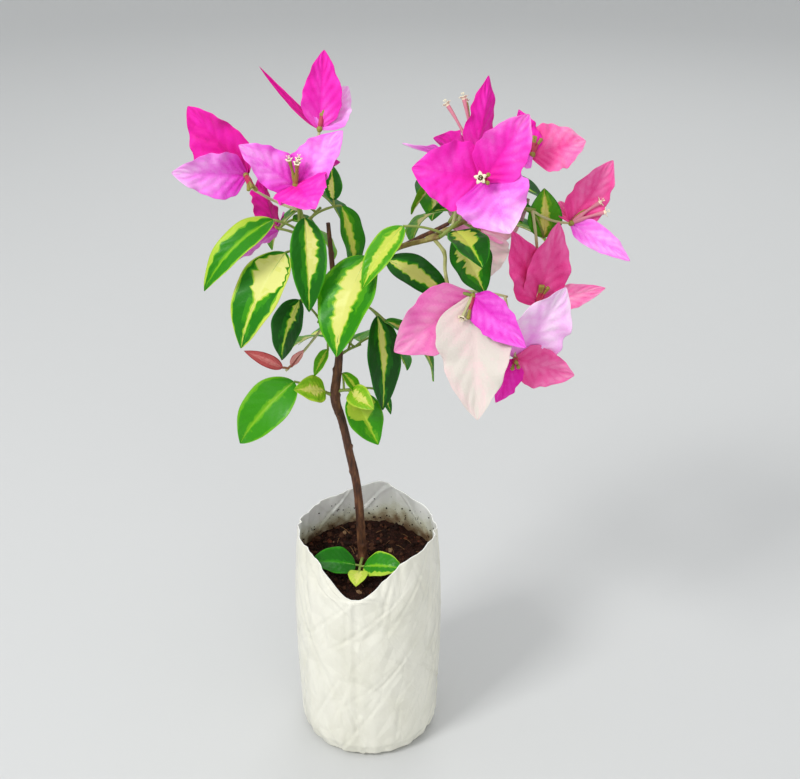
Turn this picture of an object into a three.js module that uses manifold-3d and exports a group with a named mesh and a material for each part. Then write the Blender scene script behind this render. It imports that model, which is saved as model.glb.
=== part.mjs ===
// A young bougainvillea bush with its nursery bag: one upright stem, bent boughs,
// and sprays of leaves and three-bracted blossom. Millimetres, +Z up, front towards -Y,
// with the origin at the middle of the bag's flat underside.

import * as THREE from 'three';
import { mergeVertices } from 'three/addons/utils/BufferGeometryUtils.js';
import Module from 'manifold-3d';

const wasm = await Module();
wasm.setup();

// The bag: a soft tube that stands open, with a crease at its back and at its front.
const BAG_BASE_RADIUS = 34;
const BAG_HEEL_RADIUS = 38;
const BAG_HEEL_HEIGHT = 2.6;
const BAG_FOOT_RADIUS = 39.8;
const BAG_FOOT_HEIGHT = 9;
const BAG_WAIST_HEIGHT = 40;
const BAG_BELLY_RADIUS = 41.5;
const BAG_BELLY_HEIGHT = 80;
const BAG_NECK_HEIGHT = 122;
const BAG_MOUTH_RADIUS = 38.7;
const BAG_MOUTH_HEIGHT = 133;
const BAG_WALL = 1;
const BAG_SIDES = 32;
const CREASE_TURN = 9;
const CREASE_PEAK = 0.1;
const CREASE_WIDTH = 42;
const BACK_PEAK = 5;
const BACK_PEAK_WIDTH = 30;
const FRONT_DROOP = 21;
const FRONT_DROOP_WIDTH = 26;

// The soil in the bag, with a level place where the stem stands and clods elsewhere.
const SOIL_HEIGHT = 109.8;
const SOIL_EDGE_DROP = 1.5;
const SOIL_RINGS = [1, 0.86, 0.7, 0.54, 0.38];
const SOIL_LEVEL_RADIUS = 8;
const CLOD_HEIGHT = 1.8;

// Clearances between neighbouring pieces, and from a seeded leaf to the next things.
const GAP = 0.35;
const LIMB_CLEARANCE = 4;
const LEAF_CLEARANCE = 13;

// Leaves, bracts and stalks.
const LEAF_THICKNESS = 0.9;
const LEAF_FOLD = 0.28;
const BRACT_THICKNESS = 0.9;
const BRACT_CUP = 0.3;
const STALK_RADIUS = 0.65;
const STALK_ARCH = 30;
const ROOT_DEPTH = 1.6;
const STALK_PLACES = [0.12, 0.6, 1];
const LEAF_PLACES = [0.12, 0.28, 0.46, 0.65, 0.84];
const BRACT_PLACES = [0.1, 0.26, 0.46, 0.68, 0.88];
const BLOOM_HEART = 2;
const FLOWER_SPREAD = 16;
const FLOWER_RADII = [0.8, 1.3];
const TWIG_TAPER = 0.85;
const TWIG_SEGMENT = 9;
const TWIG_SIDES = 4;
const LIMB_SAMPLES = 24;
const SLIVER = 0.02;
const SCRAP_VOLUME = 1;
const STEM_SIDES = 8;
const BOUGH_SIDES = 6;
const GOLDEN_ANGLE = 137.5;

// Limbs: the route from root to tip and the radius at each point of it.
const LIMBS = {
  main_stem: {
    color: 0x5a3428,
    route: [
      [-2.8, 0, SOIL_HEIGHT + GAP], [-3.1, 0, 119], [-5.2, 0, 157], [-9.5, 0, 182], [-12.6, 0, 199],
      [-15.8, 0, 213], [-13.3, 0.5, 236], [-14, 3, 259], [-15.7, 5, 282], [-17.4, 6, 306],
    ],
    radii: [3.8, 2.7, 2.5, 2.4, 2.4, 2.9, 2.2, 2.3, 1.5, 1.1],
  },
  left_bough: {
    color: 0x7f7a35,
    root: ['main_stem', 7],
    route: [[-14, 3, 259], [-23.9, 0, 275], [-32.2, -4, 292]],
    radii: [1.8, 1.5, 1.3],
  },
  right_bough: {
    color: 0x8a6a38,
    root: ['main_stem', 7.3],
    route: [[-14.4, 3.6, 266], [0.7, -2, 284], [14.9, -7, 297], [36.9, -14, 306]],
    radii: [1.8, 1.5, 1.4, 1.2],
  },
  right_outer_bough: {
    color: 0x6f8436,
    root: ['right_bough', 2.7],
    route: [[30.5, -12, 304.3], [48, -11, 312], [60, -9, 317.5], [78, -8, 318]],
    radii: [1.1, 1, 0.95, 0.9],
  },
  right_low_bough: {
    color: 0x9fa04a,
    root: ['right_bough', 2.85],
    route: [[33.8, -13, 305.2], [39.2, -14, 298], [39.8, -14.5, 289], [41.8, -16, 279]],
    radii: [1, 0.95, 0.9, 0.85],
  },
  back_left_bough: {
    color: 0x6b4a30,
    root: ['main_stem', 6.9],
    route: [[-13.9, 2.7, 257], [-21, 14, 268], [-28, 25, 283]],
    radii: [1.7, 1.4, 1.2],
  },
  back_right_bough: {
    color: 0x6b4a30,
    root: ['main_stem', 7.7],
    route: [[-15.2, 4.4, 275], [0, 14, 281], [22, 23, 289], [43, 28, 298]],
    radii: [1.7, 1.5, 1.3, 1.1],
  },
};

// Masses: twigs [name, parent, along, heading, rise, length, bend, radius], where the
// parent is the mass's limb or an earlier twig and along counts the points of a limb's
// route, or runs from 0 to 1 on a twig. Leaves: [twig, along, stalk heading, stalk rise,
// stalk length, heading, rise, length, width, bend, roll]. Blooms: [twig, heading and rise
// of the way its bracts face, heading, rise and length of its flowers, bracts], each bract
// being [heading, rise, length, width, bend].
// Seeded leaves fill a box: [count, seed, lowest corner, highest corner].
const MASSES = {
  upper_left_spray: {
    limb: 'left_bough',
    color: 0x7da63a,
    twigs: [
      ['stem', 'left_bough', 2, -44, 81, 18, -10, 1.2],
      ['top', 'stem', 1, -105, 86, 13.5, 0, 1],
      ['side', 'stem', 0.95, 22, 24, 22, 50, 0.7],
      ['left_stalk', 'top', 0.75, 173, 25, 27, -20, 0.7],
      ['left_stalk_end', 'left_stalk', 1, -127, 69, 7, 0, 0.7],
      ['middle_stalk', 'top', 1, -96, 61, 13, 0, 0.8],
      ['high_stalk', 'top', 1, 57, 60, 37, -30, 0.8],
    ],
    leaves: [
      ['stem', 0.85, -162, 30, 15, -159, -42, 47, 16, 80, 35],
      ['stem', 0.25, -124, 15, 10, -144, -57, 52, 25, 50, 25],
      ['stem', 0.97, -62, 49, 9, -84, -75, 45, 18, 40, 10],
      ['side', 1, 30, -10, 3, -30, -78, 36, 19, 20, 0],
      ['side', 0.96, 100, 60, 3, 110, 80, 18, 9, 20, 0],
    ],
    blooms: [
      ['left_stalk_end', -110, 10, -60, -25, 11, [
        [166, 48, 42, 29, 20], [-160, 8, 36, 23, 20], [110, 20, 26, 20, 20],
      ]],
      ['middle_stalk', -90, 45, -90, 82, 13, [
        [-171, 40, 33, 21, 5], [15, 46, 34, 22, 5], [-64, -10, 24, 28, 5],
      ]],
      ['high_stalk', -80, 25, 60, 60, 10, [
        [154, 40, 42, 4, -45], [78, 71, 37, 20, 15], [48, 40, 26, 19, 10],
      ]],
    ],
  },
  left_low_leaves: {
    limb: 'main_stem',
    color: 0x2f7a2c,
    twigs: [
      ['stem', 'main_stem', 6.6, -168, 30, 12, 0, 1],
      ['young_stalk', 'stem', 0.8, -158, -46, 31, -10, 0.7],
    ],
    leaves: [
      ['stem', 0.6, -100, -75, 12, -159, -61, 16, 7, 20, 30],
      ['stem', 0.95, -172, 52, 17, -158, -70, 34, 19, 30, 30],
      ['young_stalk', 1, -160, 20, 3, -170, 30, 22, 7, 20, 60],
      ['young_stalk', 1, -30, 40, 3, -17, 55, 12, 5, 20, 60],
    ],
    blooms: [],
  },
  knee_leaves: {
    limb: 'main_stem',
    color: 0x35912f,
    twigs: [
      ['stem', 'main_stem', 5, -172, 22, 14, 20, 1],
    ],
    leaves: [
      ['stem', 1, -172, 28, 11, -162, -46, 44, 24, 60, 45],
      ['stem', 0.45, -120, 40, 3, -142, 20, 20, 15, 30, 50],
    ],
    blooms: [],
  },
  fork_leaves: {
    limb: 'right_bough',
    color: 0x5c9a38,
    twigs: [
      ['stem', 'right_bough', 1, -50, 25, 6, 0, 0.9],
    ],
    leaves: [
      ['stem', 0.8, -92, 62, 10, -124, -56, 52, 31, 40, 0],
      ['stem', 0.9, 0, 30, 10, -10, -32, 38, 17, 60, -40],
    ],
    blooms: [],
  },
  hanging_leaves: {
    limb: 'main_stem',
    color: 0x2f7a34,
    twigs: [
      ['stem', 'main_stem', 7.1, -22, 22, 16, 20, 1],
    ],
    leaves: [
      ['stem', 1, -5, -40, 11, -60, -84, 52, 19, 25, 0],
      ['stem', 0.95, -9, -35, 16, -5, -52, 42, 18, 60, 0],
    ],
    blooms: [],
  },
  lower_right_leaves: {
    limb: 'main_stem',
    color: 0x4fae32,
    twigs: [
      ['stem', 'main_stem', 5.15, -20, 15, 9, 10, 1],
    ],
    leaves: [
      ['stem', 0.75, 100, 70, 9, -32, -50, 17, 9, 30, 0],
      ['stem', 0.9, -30, 10, 3, -52, -9, 20, 12, 40, -40],
      ['stem', 1, -40, -30, 3, -29, -60, 30, 20, 20, -30],
      ['stem', 1, 5, 0, 14, -5, -60, 17, 7, 50, -30],
    ],
    blooms: [],
  },
  basal_leaves: {
    limb: 'main_stem',
    color: 0x4aa52a,
    twigs: [
      ['stem', 'main_stem', 0.35, -95, 8, 16, 20, 0.9],
    ],
    leaves: [
      ['stem', 0.85, -165, 20, 3, -166, 14, 26, 17, 35, 25],
      ['stem', 0.9, -30, 20, 3, -24, 12, 24, 16, 35, -25],
      ['stem', 1, -90, 0, 3, -96, 2, 15, 11, 40, 0],
    ],
    blooms: [],
  },
  right_top_spray: {
    limb: 'right_bough',
    color: 0xe04ab0,
    twigs: [
      ['stem', 'right_bough', 3, -9, 44, 14, -10, 1.1],
      ['front_stalk', 'stem', 1, -42, 58, 27, 20, 0.8],
      ['back_stalk', 'stem', 0.7, 25, 74, 36, 10, 0.8],
      ['outer_stalk', 'back_stalk', 0.3, 3, 36, 43, 10, 0.8],
    ],
    leaves: [
      ['stem', 0.3, -177, 12, 20, -140, -45, 36, 14, 40, 20],
      ['stem', 0.3, 0, 10, 6, -60, -25, 26, 20, 40, 0],
      ['stem', 0.3, 20, -30, 6, -16, -60, 31, 25, 30, -30],
    ],
    blooms: [
      ['front_stalk', -92, 20, -88, 22, 9, [
        [-176, 11, 34, 34, 10], [-52, -46, 28, 36, 15], [14, 55, 36, 26, 15],
      ]],
      ['back_stalk', 100, 50, 125, 62, 26, [
        [57, 72, 37, 17, -30], [166, 6, 34, 11, -30], [60, -10, 24, 20, 10],
      ]],
      ['outer_stalk', -70, 45, 60, 50, 9, [
        [9, 14, 27, 26, 15], [128, 62, 22, 14, 10], [-160, 5, 20, 18, 10],
      ]],
    ],
  },
  right_outer_spray: {
    limb: 'right_outer_bough',
    color: 0xe0508f,
    twigs: [
      ['stem', 'right_outer_bough', 3, 8, -10, 5, 0, 0.9],
      ['far_stalk', 'stem', 0.9, 3, -20, 21, -40, 0.7],
      ['low_stalk', 'stem', 1, -40, -83, 48, 15, 0.8],
    ],
    leaves: [
      ['stem', 0.7, 12, -62, 17, 95, 80, 24, 17, 10, 0],
    ],
    blooms: [
      ['far_stalk', -70, 25, 7, 30, 17, [
        [24, 53, 36, 21, 15], [-25, -25, 34, 14, 20], [107, 25, 16, 13, 10],
      ]],
      ['low_stalk', -75, 20, -60, 70, 12, [
        [-20, 79, 45, 23, 15], [-166, 70, 42, 22, 15], [-3, 16, 34, 14, -20],
      ]],
    ],
  },
  right_low_spray: {
    limb: 'right_low_bough',
    color: 0xf0a0d0,
    twigs: [
      ['stem', 'right_low_bough', 3, -10, -8, 12, 10, 0.9],
      ['outer_stalk', 'stem', 0.3, 2, -7, 27, 20, 0.7],
      ['outer_stalk_end', 'outer_stalk', 1, -33, -77, 33, 10, 0.7],
    ],
    leaves: [],
    blooms: [
      ['stem', -95, 10, -110, -35, 13, [
        [-167, -34, 48, 34, 20], [-87, -58, 61, 38, 10], [-47, -24, 39, 20, 15],
      ]],
      ['outer_stalk_end', -75, 5, -100, 0, 9, [
        [-8, 60, 46, 33, 25], [-8, -14, 31, 22, 15], [-130, -50, 24, 15, 10],
      ]],
    ],
  },
  back_left_spray: {
    limb: 'back_left_bough',
    color: 0xc24aa0,
    twigs: [
      ['stem', 'back_left_bough', 2, 120, 62, 24, 20, 1.1],
      ['left', 'stem', 0.35, 165, 15, 18, 30, 0.8],
      ['right', 'stem', 0.6, 60, 25, 16, 30, 0.8],
      ['top', 'stem', 1, 95, 55, 14, 10, 0.8],
    ],
    leaves: [],
    seeded: [9, 37, [-64, 13, 226], [2, 68, 338]],
    blooms: [
      ['top', 95, 35, 95, 35, 12, [
        [170, 25, 30, 26, 10], [35, 20, 26, 24, 10], [95, -35, 30, 26, 10],
      ]],
      ['left', 140, 20, 140, 40, 13, [
        [-178, -35, 28, 22, 10], [120, 50, 30, 24, 10], [95, -30, 28, 22, 10],
      ]],
    ],
  },
  back_right_spray: {
    limb: 'back_right_bough',
    color: 0xd35ab0,
    twigs: [
      ['stem', 'back_right_bough', 3, 20, 50, 22, 20, 1],
      ['top', 'stem', 1, 60, 40, 14, 10, 0.8],
      ['low', 'stem', 0.3, 35, -35, 20, -20, 0.8],
      ['left', 'stem', 0.5, 140, 30, 16, 20, 0.8],
    ],
    leaves: [],
    seeded: [9, 1665, [14, 13, 228], [104, 74, 346]],
    blooms: [
      ['top', 75, 30, 75, 30, 12, [
        [140, 20, 34, 28, 10], [10, 35, 33, 27, 10], [80, -40, 34, 28, 10],
      ]],
      ['low', 60, -10, 60, -10, 12, [
        [120, 10, 32, 26, 10], [20, 25, 32, 25, 10], [50, -70, 32, 28, 10],
      ]],
    ],
  },
  back_low_leaves: {
    limb: 'main_stem',
    color: 0x3c8a30,
    twigs: [
      ['stem', 'main_stem', 5.7, 80, 35, 14, 20, 1],
      ['right', 'stem', 0.7, 20, 20, 12, 20, 0.8],
    ],
    leaves: [],
    seeded: [5, 1591, [-44, 5, 184], [30, 62, 252]],
    blooms: [],
  },
};

const radians = THREE.MathUtils.degToRad;
const smoothstep = THREE.MathUtils.smoothstep;

// The unit vector at a heading (0 is +X, 90 is +Y) and a rise above level, in degrees.
function direction(heading, rise) {
  const flat = Math.cos(radians(rise));
  return new THREE.Vector3(
    flat * Math.cos(radians(heading)),
    flat * Math.sin(radians(heading)),
    Math.sin(radians(rise)),
  );
}

// Even draws between 0 and 1, the same for the same seed.
function drawsFrom(seed) {
  let state = seed;
  return () => {
    state = (state * 1664525 + 1013904223) % 4294967296;
    return state / 4294967296;
  };
}

// Closed mesh, moved point by point, as a solid.
function solidOf(geometry, move) {
  geometry.deleteAttribute('normal');
  geometry.deleteAttribute('uv');
  const merged = mergeVertices(geometry, 1e-5);
  const position = merged.getAttribute('position');
  const point = new THREE.Vector3();
  for (let i = 0; i < position.count; i += 1) {
    point.fromBufferAttribute(position, i);
    const moved = move(point);
    position.setXYZ(i, moved.x, moved.y, moved.z);
  }
  return new wasm.Manifold(new wasm.Mesh({
    numProp: 3,
    vertProperties: new Float32Array(position.array),
    triVerts: new Uint32Array(merged.index.array),
  }));
}

function geometryOf(solid) {
  const mesh = solid.getMesh();
  const geometry = new THREE.BufferGeometry();
  geometry.setAttribute('position', new THREE.BufferAttribute(mesh.vertProperties, 3));
  geometry.setIndex(new THREE.BufferAttribute(mesh.triVerts, 1));
  return geometry;
}

// The arc of a twig, stalk or blade: its chord has the given start, direction and
// length, and it bends evenly about side by bend degrees in all, bulging towards up.
class Arc extends THREE.Curve {
  constructor(start, chord, up, length, bend) {
    super();
    this.start = start;
    this.chord = chord;
    this.up = up;
    this.length = length;
    this.bend = radians(Math.abs(bend) < 1 ? 1 : bend);
  }

  getPoint(t, target = new THREE.Vector3()) {
    const half = this.bend / 2;
    const slope = half - this.bend * t;
    const scale = this.length / (2 * Math.sin(half));
    return target.copy(this.start)
      .addScaledVector(this.chord, scale * (Math.sin(half) - Math.sin(slope)))
      .addScaledVector(this.up, scale * (Math.cos(slope) - Math.cos(half)));
  }
}

function arc(start, heading, rise, length, bend) {
  return new Arc(start, direction(heading, rise), direction(heading, rise + 90), length, bend);
}

function routeOf(points) {
  return new THREE.CatmullRomCurve3(points.map((p) => new THREE.Vector3(...p)), false, 'catmullrom', 0.5);
}

// Two unit vectors across a curve at each place, carried along it without twist.
function framesAlong(curve, places) {
  let tangent = curve.getTangent(places[0]);
  let normal = new THREE.Vector3(0, 1, 0).cross(tangent).normalize();
  return places.map((t) => {
    const next = curve.getTangent(t);
    const turn = new THREE.Quaternion().setFromUnitVectors(tangent, next);
    normal = normal.clone().applyQuaternion(turn);
    tangent = next;
    return { tangent, normal, binormal: new THREE.Vector3().crossVectors(tangent, normal) };
  });
}

// A closed tube along a curve, with a radius at even places from root to tip. With grow
// it is that much fatter and longer at both ends.
function tube(curve, radii, sides, steps, grow = 0) {
  const frames = framesAlong(curve, Array.from({ length: steps + 1 }, (_, step) => step / steps));
  return solidOf(new THREE.CylinderGeometry(1, 1, 1, sides, steps), (v) => {
    const step = Math.round((v.y + 0.5) * steps);
    const place = (step / steps) * (radii.length - 1);
    const below = Math.min(Math.floor(place), radii.length - 2);
    const radius = grow + THREE.MathUtils.lerp(radii[below], radii[below + 1], place - below);
    const end = step === 0 ? -grow : step === steps ? grow : 0;
    return curve.getPoint(step / steps)
      .addScaledVector(frames[step].tangent, end)
      .addScaledVector(frames[step].normal, v.x * radius)
      .addScaledVector(frames[step].binormal, -v.z * radius);
  });
}

// Half the width of a leaf or a bract, as a share of its greatest half width.
function leafOutline(t) {
  return 2.87 * t ** 0.62 * (1 - t) ** 0.95;
}

function bractOutline(t) {
  return 2.45 * t ** 0.48 * (1 - t) ** 0.9;
}

// A thin solid with a sharp edge on either side: at each place it has half its width,
// its thickness and the share of the half width by which its edges stand up.
function ribbon(places, across, forward) {
  const turn = new THREE.Quaternion();
  return solidOf(new THREE.SphereGeometry(1, 4, places.length - 1), (v) => {
    const ring = 1 - Math.acos(THREE.MathUtils.clamp(v.y, -1, 1)) / Math.PI;
    const { curve, t, half, thick, lift } = places[Math.round(ring * (places.length - 1))];
    const tangent = curve.getTangent(t);
    const side = across.clone().applyQuaternion(turn.setFromUnitVectors(forward, tangent));
    const normal = new THREE.Vector3().crossVectors(side, tangent);
    const round = Math.hypot(v.x, v.z) || 1;
    return curve.getPoint(t)
      .addScaledVector(side, (v.x / round) * half)
      .addScaledVector(normal, (v.z / round) * thick / 2 + Math.abs(v.x / round) * lift * half);
  });
}

// The places of a blade along its midrib.
function bladePlaces(curve, shares, width, outline, thick, lift) {
  return shares.map((t) => ({ curve, t, half: 0.5 * width * outline(t), thick, lift }));
}

// A leaf and its arched stalk.
function leaf(start, [stalkHeading, stalkRise, stalkLength, heading, rise, length, width, bend, roll]) {
  const stalk = arc(start, stalkHeading, stalkRise, stalkLength, STALK_ARCH);
  const chord = direction(heading, rise);
  const up = direction(heading, rise + 90).applyAxisAngle(chord, -radians(roll));
  const midrib = new Arc(stalk.getPoint(1), chord, up, length, bend);
  const stem = { curve: stalk, half: STALK_RADIUS, thick: STALK_RADIUS * 2, lift: 0 };
  const places = [
    { ...stem, t: 0, half: 0, thick: 0 },
    ...STALK_PLACES.map((t) => ({ ...stem, t })),
    ...bladePlaces(midrib, LEAF_PLACES, width, leafOutline, LEAF_THICKNESS, LEAF_FOLD),
    { curve: midrib, t: 1, half: 0, thick: 0, lift: 0 },
  ];
  return ribbon(places, new THREE.Vector3().crossVectors(chord, up), midrib.getTangent(0));
}

// A bloom: three bracts round a small heart, with a thin flower standing on each.
function bloom(centre, [faceHeading, faceRise, flowerHeading, flowerRise, flowerLength, bracts]) {
  const face = direction(faceHeading, faceRise);
  const way = direction(flowerHeading, flowerRise);
  const heart = new THREE.OctahedronGeometry(BLOOM_HEART);
  const pieces = [solidOf(heart, (v) => v.clone().add(centre))];
  for (const [heading, rise, length, width, bend] of bracts) {
    const chord = direction(heading, rise);
    const inner = face.clone().addScaledVector(chord, -face.dot(chord)).normalize();
    const midrib = new Arc(centre, chord, inner, length, bend);
    const places = [
      { curve: midrib, t: 0, half: 0, thick: 0, lift: 0 },
      ...bladePlaces(midrib, BRACT_PLACES, width, bractOutline, BRACT_THICKNESS, BRACT_CUP),
      { curve: midrib, t: 1, half: 0, thick: 0, lift: 0 },
    ];
    pieces.push(ribbon(places, new THREE.Vector3().crossVectors(chord, inner), midrib.getTangent(0)));
    const flower = way.clone().addScaledVector(chord, Math.tan(radians(FLOWER_SPREAD))).normalize();
    pieces.push(tube(new Arc(centre, flower, inner, flowerLength, 0), FLOWER_RADII, 3, 1));
  }
  return pieces;
}

const routes = Object.fromEntries(
  Object.entries(LIMBS).map(([name, limb]) => [name, routeOf(limb.route)]),
);

function limbSolid(name, grow = 0) {
  const { route, radii } = LIMBS[name];
  const sides = name === 'main_stem' ? STEM_SIDES : BOUGH_SIDES;
  return tube(routes[name], radii, sides, (route.length - 1) * 2, grow);
}

const limbSamples = Object.values(routes).flatMap((route) => route.getPoints(LIMB_SAMPLES));

// Whether a seeded leaf stays in its mass's box, off the limbs and off earlier leaves.
function fits(start, row, low, high, middles) {
  const [stalkHeading, stalkRise, stalkLength, heading, rise, length, width] = row;
  const base = start.clone().addScaledVector(direction(stalkHeading, stalkRise), stalkLength);
  const chord = direction(heading, rise);
  const across = direction(heading - 90, 0);
  const middle = base.clone().addScaledVector(chord, length * 0.45);
  const tip = base.clone().addScaledVector(chord, length);
  const left = middle.clone().addScaledVector(across, -width * 0.5);
  const right = middle.clone().addScaledVector(across, width * 0.5);
  const points = [middle, tip, left, right];
  const inside = points.every((p) => (
    p.x > low[0] && p.y > low[1] && p.z > low[2] && p.x < high[0] && p.y < high[1] && p.z < high[2]
  ));
  const clear = points.every((p) => limbSamples.every((q) => p.distanceTo(q) > LIMB_CLEARANCE));
  const apart = middles.every((m) => middle.distanceTo(m) > LEAF_CLEARANCE);
  if (inside && clear && apart) {
    middles.push(middle);
    return true;
  }
  return false;
}

// Rows of seeded leaves that spiral round the twigs of a mass.
function seededLeaves([count, seed, low, high], twigs) {
  const draw = drawsFrom(seed);
  const names = Object.keys(twigs);
  const rows = [];
  const middles = [];
  for (let attempt = 0; attempt < count * 12 && rows.length < count; attempt += 1) {
    const name = names[attempt % names.length];
    const along = 0.4 + 0.6 * draw();
    const heading = attempt * GOLDEN_ANGLE + 30 * draw();
    const length = 36 + 14 * draw();
    const row = [
      heading, 15 + 25 * draw(), 7 + 5 * draw(),
      heading + 30 * draw() - 15, -10 - 45 * draw(), length, length * (0.5 + 0.12 * draw()),
      35 + 30 * draw(), 30 * draw() - 15,
    ];
    if (fits(rootOn(twigs[name], along), row, low, high, middles)) {
      rows.push([name, along, ...row]);
    }
  }
  return rows;
}

// The biggest body of a solid, without loose scraps. A scrap of any size is a broken twig.
function mainBody(name, solid) {
  const [body, ...scraps] = solid.decompose().sort((a, b) => b.volume() - a.volume());
  const broken = scraps.filter((scrap) => scrap.volume() > SCRAP_VOLUME);
  if (broken.length) {
    throw new Error(`${name} has ${broken.length} twigs broken off`);
  }
  return body;
}

// Where a twig or stalk starts: on its parent, sunk a little way back along it.
function rootOn(curve, along) {
  return curve.getPoint(along).addScaledVector(curve.getTangent(along), -ROOT_DEPTH);
}

function massSolid(mass, { limb, twigs, leaves, blooms, seeded }, clearances) {
  const curves = {};
  const pieces = [];
  for (const [name, parent, along, heading, rise, length, bend, radius] of twigs) {
    const start = parent === limb
      ? routes[limb].getPoint(along / (LIMBS[limb].route.length - 1))
      : rootOn(curves[parent], along);
    curves[name] = arc(start, heading, rise, length, bend);
    const steps = Math.max(2, Math.round(length / TWIG_SEGMENT));
    pieces.push(tube(curves[name], [radius, radius * TWIG_TAPER], TWIG_SIDES, steps));
  }
  const grown = seeded ? seededLeaves(seeded, curves) : [];
  for (const [twig, along, ...row] of [...leaves, ...grown]) {
    pieces.push(leaf(rootOn(curves[twig], along), row));
  }
  for (const [twig, ...row] of blooms) {
    pieces.push(...bloom(curves[twig].getPoint(1), row));
  }
  const whole = wasm.Manifold.union(pieces).subtract(clearances);
  return mainBody(mass, whole.simplify(SLIVER));
}

// How far an angle lies from a crease, in degrees.
function fromCrease(angle, crease) {
  return Math.abs(THREE.MathUtils.euclideanModulo(angle - crease + 180, 360) - 180);
}

const FRONT_CREASE = -90 - CREASE_TURN;
const BACK_CREASE = 90 - CREASE_TURN;

function creaseShare(angle) {
  const nearest = Math.min(fromCrease(angle, FRONT_CREASE), fromCrease(angle, BACK_CREASE));
  return Math.max(0, 1 - nearest / CREASE_WIDTH) ** 1.5;
}

function rimHeight(angle) {
  const back = Math.max(0, 1 - fromCrease(angle, BACK_CREASE) / BACK_PEAK_WIDTH) ** 1.1;
  const front = Math.exp(-((fromCrease(angle, FRONT_CREASE) / FRONT_DROOP_WIDTH) ** 2));
  return BAG_MOUTH_HEIGHT + BACK_PEAK * back - FRONT_DROOP * front;
}

// Where a point of the round bag goes in the creased one.
function inBag(x, y, height) {
  const angle = THREE.MathUtils.radToDeg(Math.atan2(y, x));
  const open = smoothstep(height, BAG_BELLY_HEIGHT, BAG_MOUTH_HEIGHT);
  const stretch = (rimHeight(angle) - SOIL_HEIGHT) / (BAG_MOUTH_HEIGHT - SOIL_HEIGHT);
  const wide = 1 + CREASE_PEAK * open * creaseShare(angle);
  const high = height > SOIL_HEIGHT ? SOIL_HEIGHT + (height - SOIL_HEIGHT) * stretch : height;
  return new THREE.Vector3(x * wide, y * wide, high);
}

// A lathed profile of [radius, height] points, from the axis to the axis.
function lathed(profile, sides, move) {
  const points = profile.map(([radius, height]) => new THREE.Vector2(radius, height));
  return solidOf(new THREE.LatheGeometry(points, sides), (v) => move(v.x, -v.z, v.y));
}

// The bag's wall from its base to the soil's edge, moved inwards by inset.
function bagWall(inset) {
  const lift = inset * 0.7;
  return [
    [BAG_BASE_RADIUS - inset * 0.5, inset], [BAG_HEEL_RADIUS - inset, BAG_HEEL_HEIGHT + lift],
    [BAG_FOOT_RADIUS - inset, BAG_FOOT_HEIGHT], [BAG_BELLY_RADIUS - 0.5 - inset, BAG_WAIST_HEIGHT],
    [BAG_BELLY_RADIUS - inset, BAG_BELLY_HEIGHT], [BAG_BELLY_RADIUS - 1 - inset, SOIL_HEIGHT],
  ];
}

// The bag's neck from above the soil to its mouth, moved inwards by inset.
function bagNeck(inset) {
  return [
    [BAG_MOUTH_RADIUS + 0.9 - inset, BAG_NECK_HEIGHT], [BAG_MOUTH_RADIUS - inset, BAG_MOUTH_HEIGHT],
  ];
}

function bagSolid() {
  const outer = [...bagWall(0), ...bagNeck(0)];
  const inner = [...bagWall(BAG_WALL), ...bagNeck(BAG_WALL)].reverse();
  return lathed([[0, 0], ...outer, ...inner, [0, BAG_WALL]], BAG_SIDES, inBag);
}

// Clods: a sum of waves in two directions, none near the stem.
function clod(x, y) {
  const away = smoothstep(Math.hypot(x, y), SOIL_LEVEL_RADIUS, SOIL_LEVEL_RADIUS + 8);
  const waves = Math.sin(0.55 * x + 1.3) * Math.cos(0.47 * y) + 0.6 * Math.sin(0.9 * y - 0.5 * x);
  return away * CLOD_HEIGHT * waves * 0.5;
}

function soilSolid() {
  const wall = bagWall(BAG_WALL + GAP);
  const [edge] = wall.pop();
  const rings = SOIL_RINGS.map((share) => [edge * share, SOIL_HEIGHT - (share === 1 ? SOIL_EDGE_DROP : 0)]);
  const top = [...rings, [SOIL_LEVEL_RADIUS, SOIL_HEIGHT], [0, SOIL_HEIGHT]];
  return lathed([[0, BAG_WALL + GAP], ...wall, ...top], BAG_SIDES, (x, y, height) => {
    const place = inBag(x, y, height);
    if (height > SOIL_HEIGHT - 0.1) {
      place.z += clod(x, y);
    }
    return place;
  });
}

const group = new THREE.Group();

function add(name, solid, color, roughness) {
  const material = new THREE.MeshStandardMaterial({ color, roughness, metalness: 0 });
  const mesh = new THREE.Mesh(geometryOf(solid), material);
  mesh.name = name;
  group.add(mesh);
}

add('grow_bag', bagSolid(), 0xe4e5e0, 0.5);
add('soil', soilSolid(), 0x2b1a14, 0.95);

const names = Object.keys(LIMBS);
const clearances = wasm.Manifold.union(names.map((name) => limbSolid(name, GAP)));
for (const name of names) {
  const { root, color } = LIMBS[name];
  const limb = root ? mainBody(name, limbSolid(name).subtract(limbSolid(root[0], GAP))) : limbSolid(name);
  add(name, limb, color, 0.8);
}
for (const [name, mass] of Object.entries(MASSES)) {
  add(name, massSolid(name, mass, clearances), mass.color, 0.6);
}

export default group;
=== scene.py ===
"""A young bougainvillea bush in its nursery bag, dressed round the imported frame.

Lengths are millimetres, headings and rises are degrees. Heading 0 is +X, 90 is +Y, and the
viewer stands towards -Y. Meshes, the stage and the camera are in metres.
"""

import math

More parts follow.
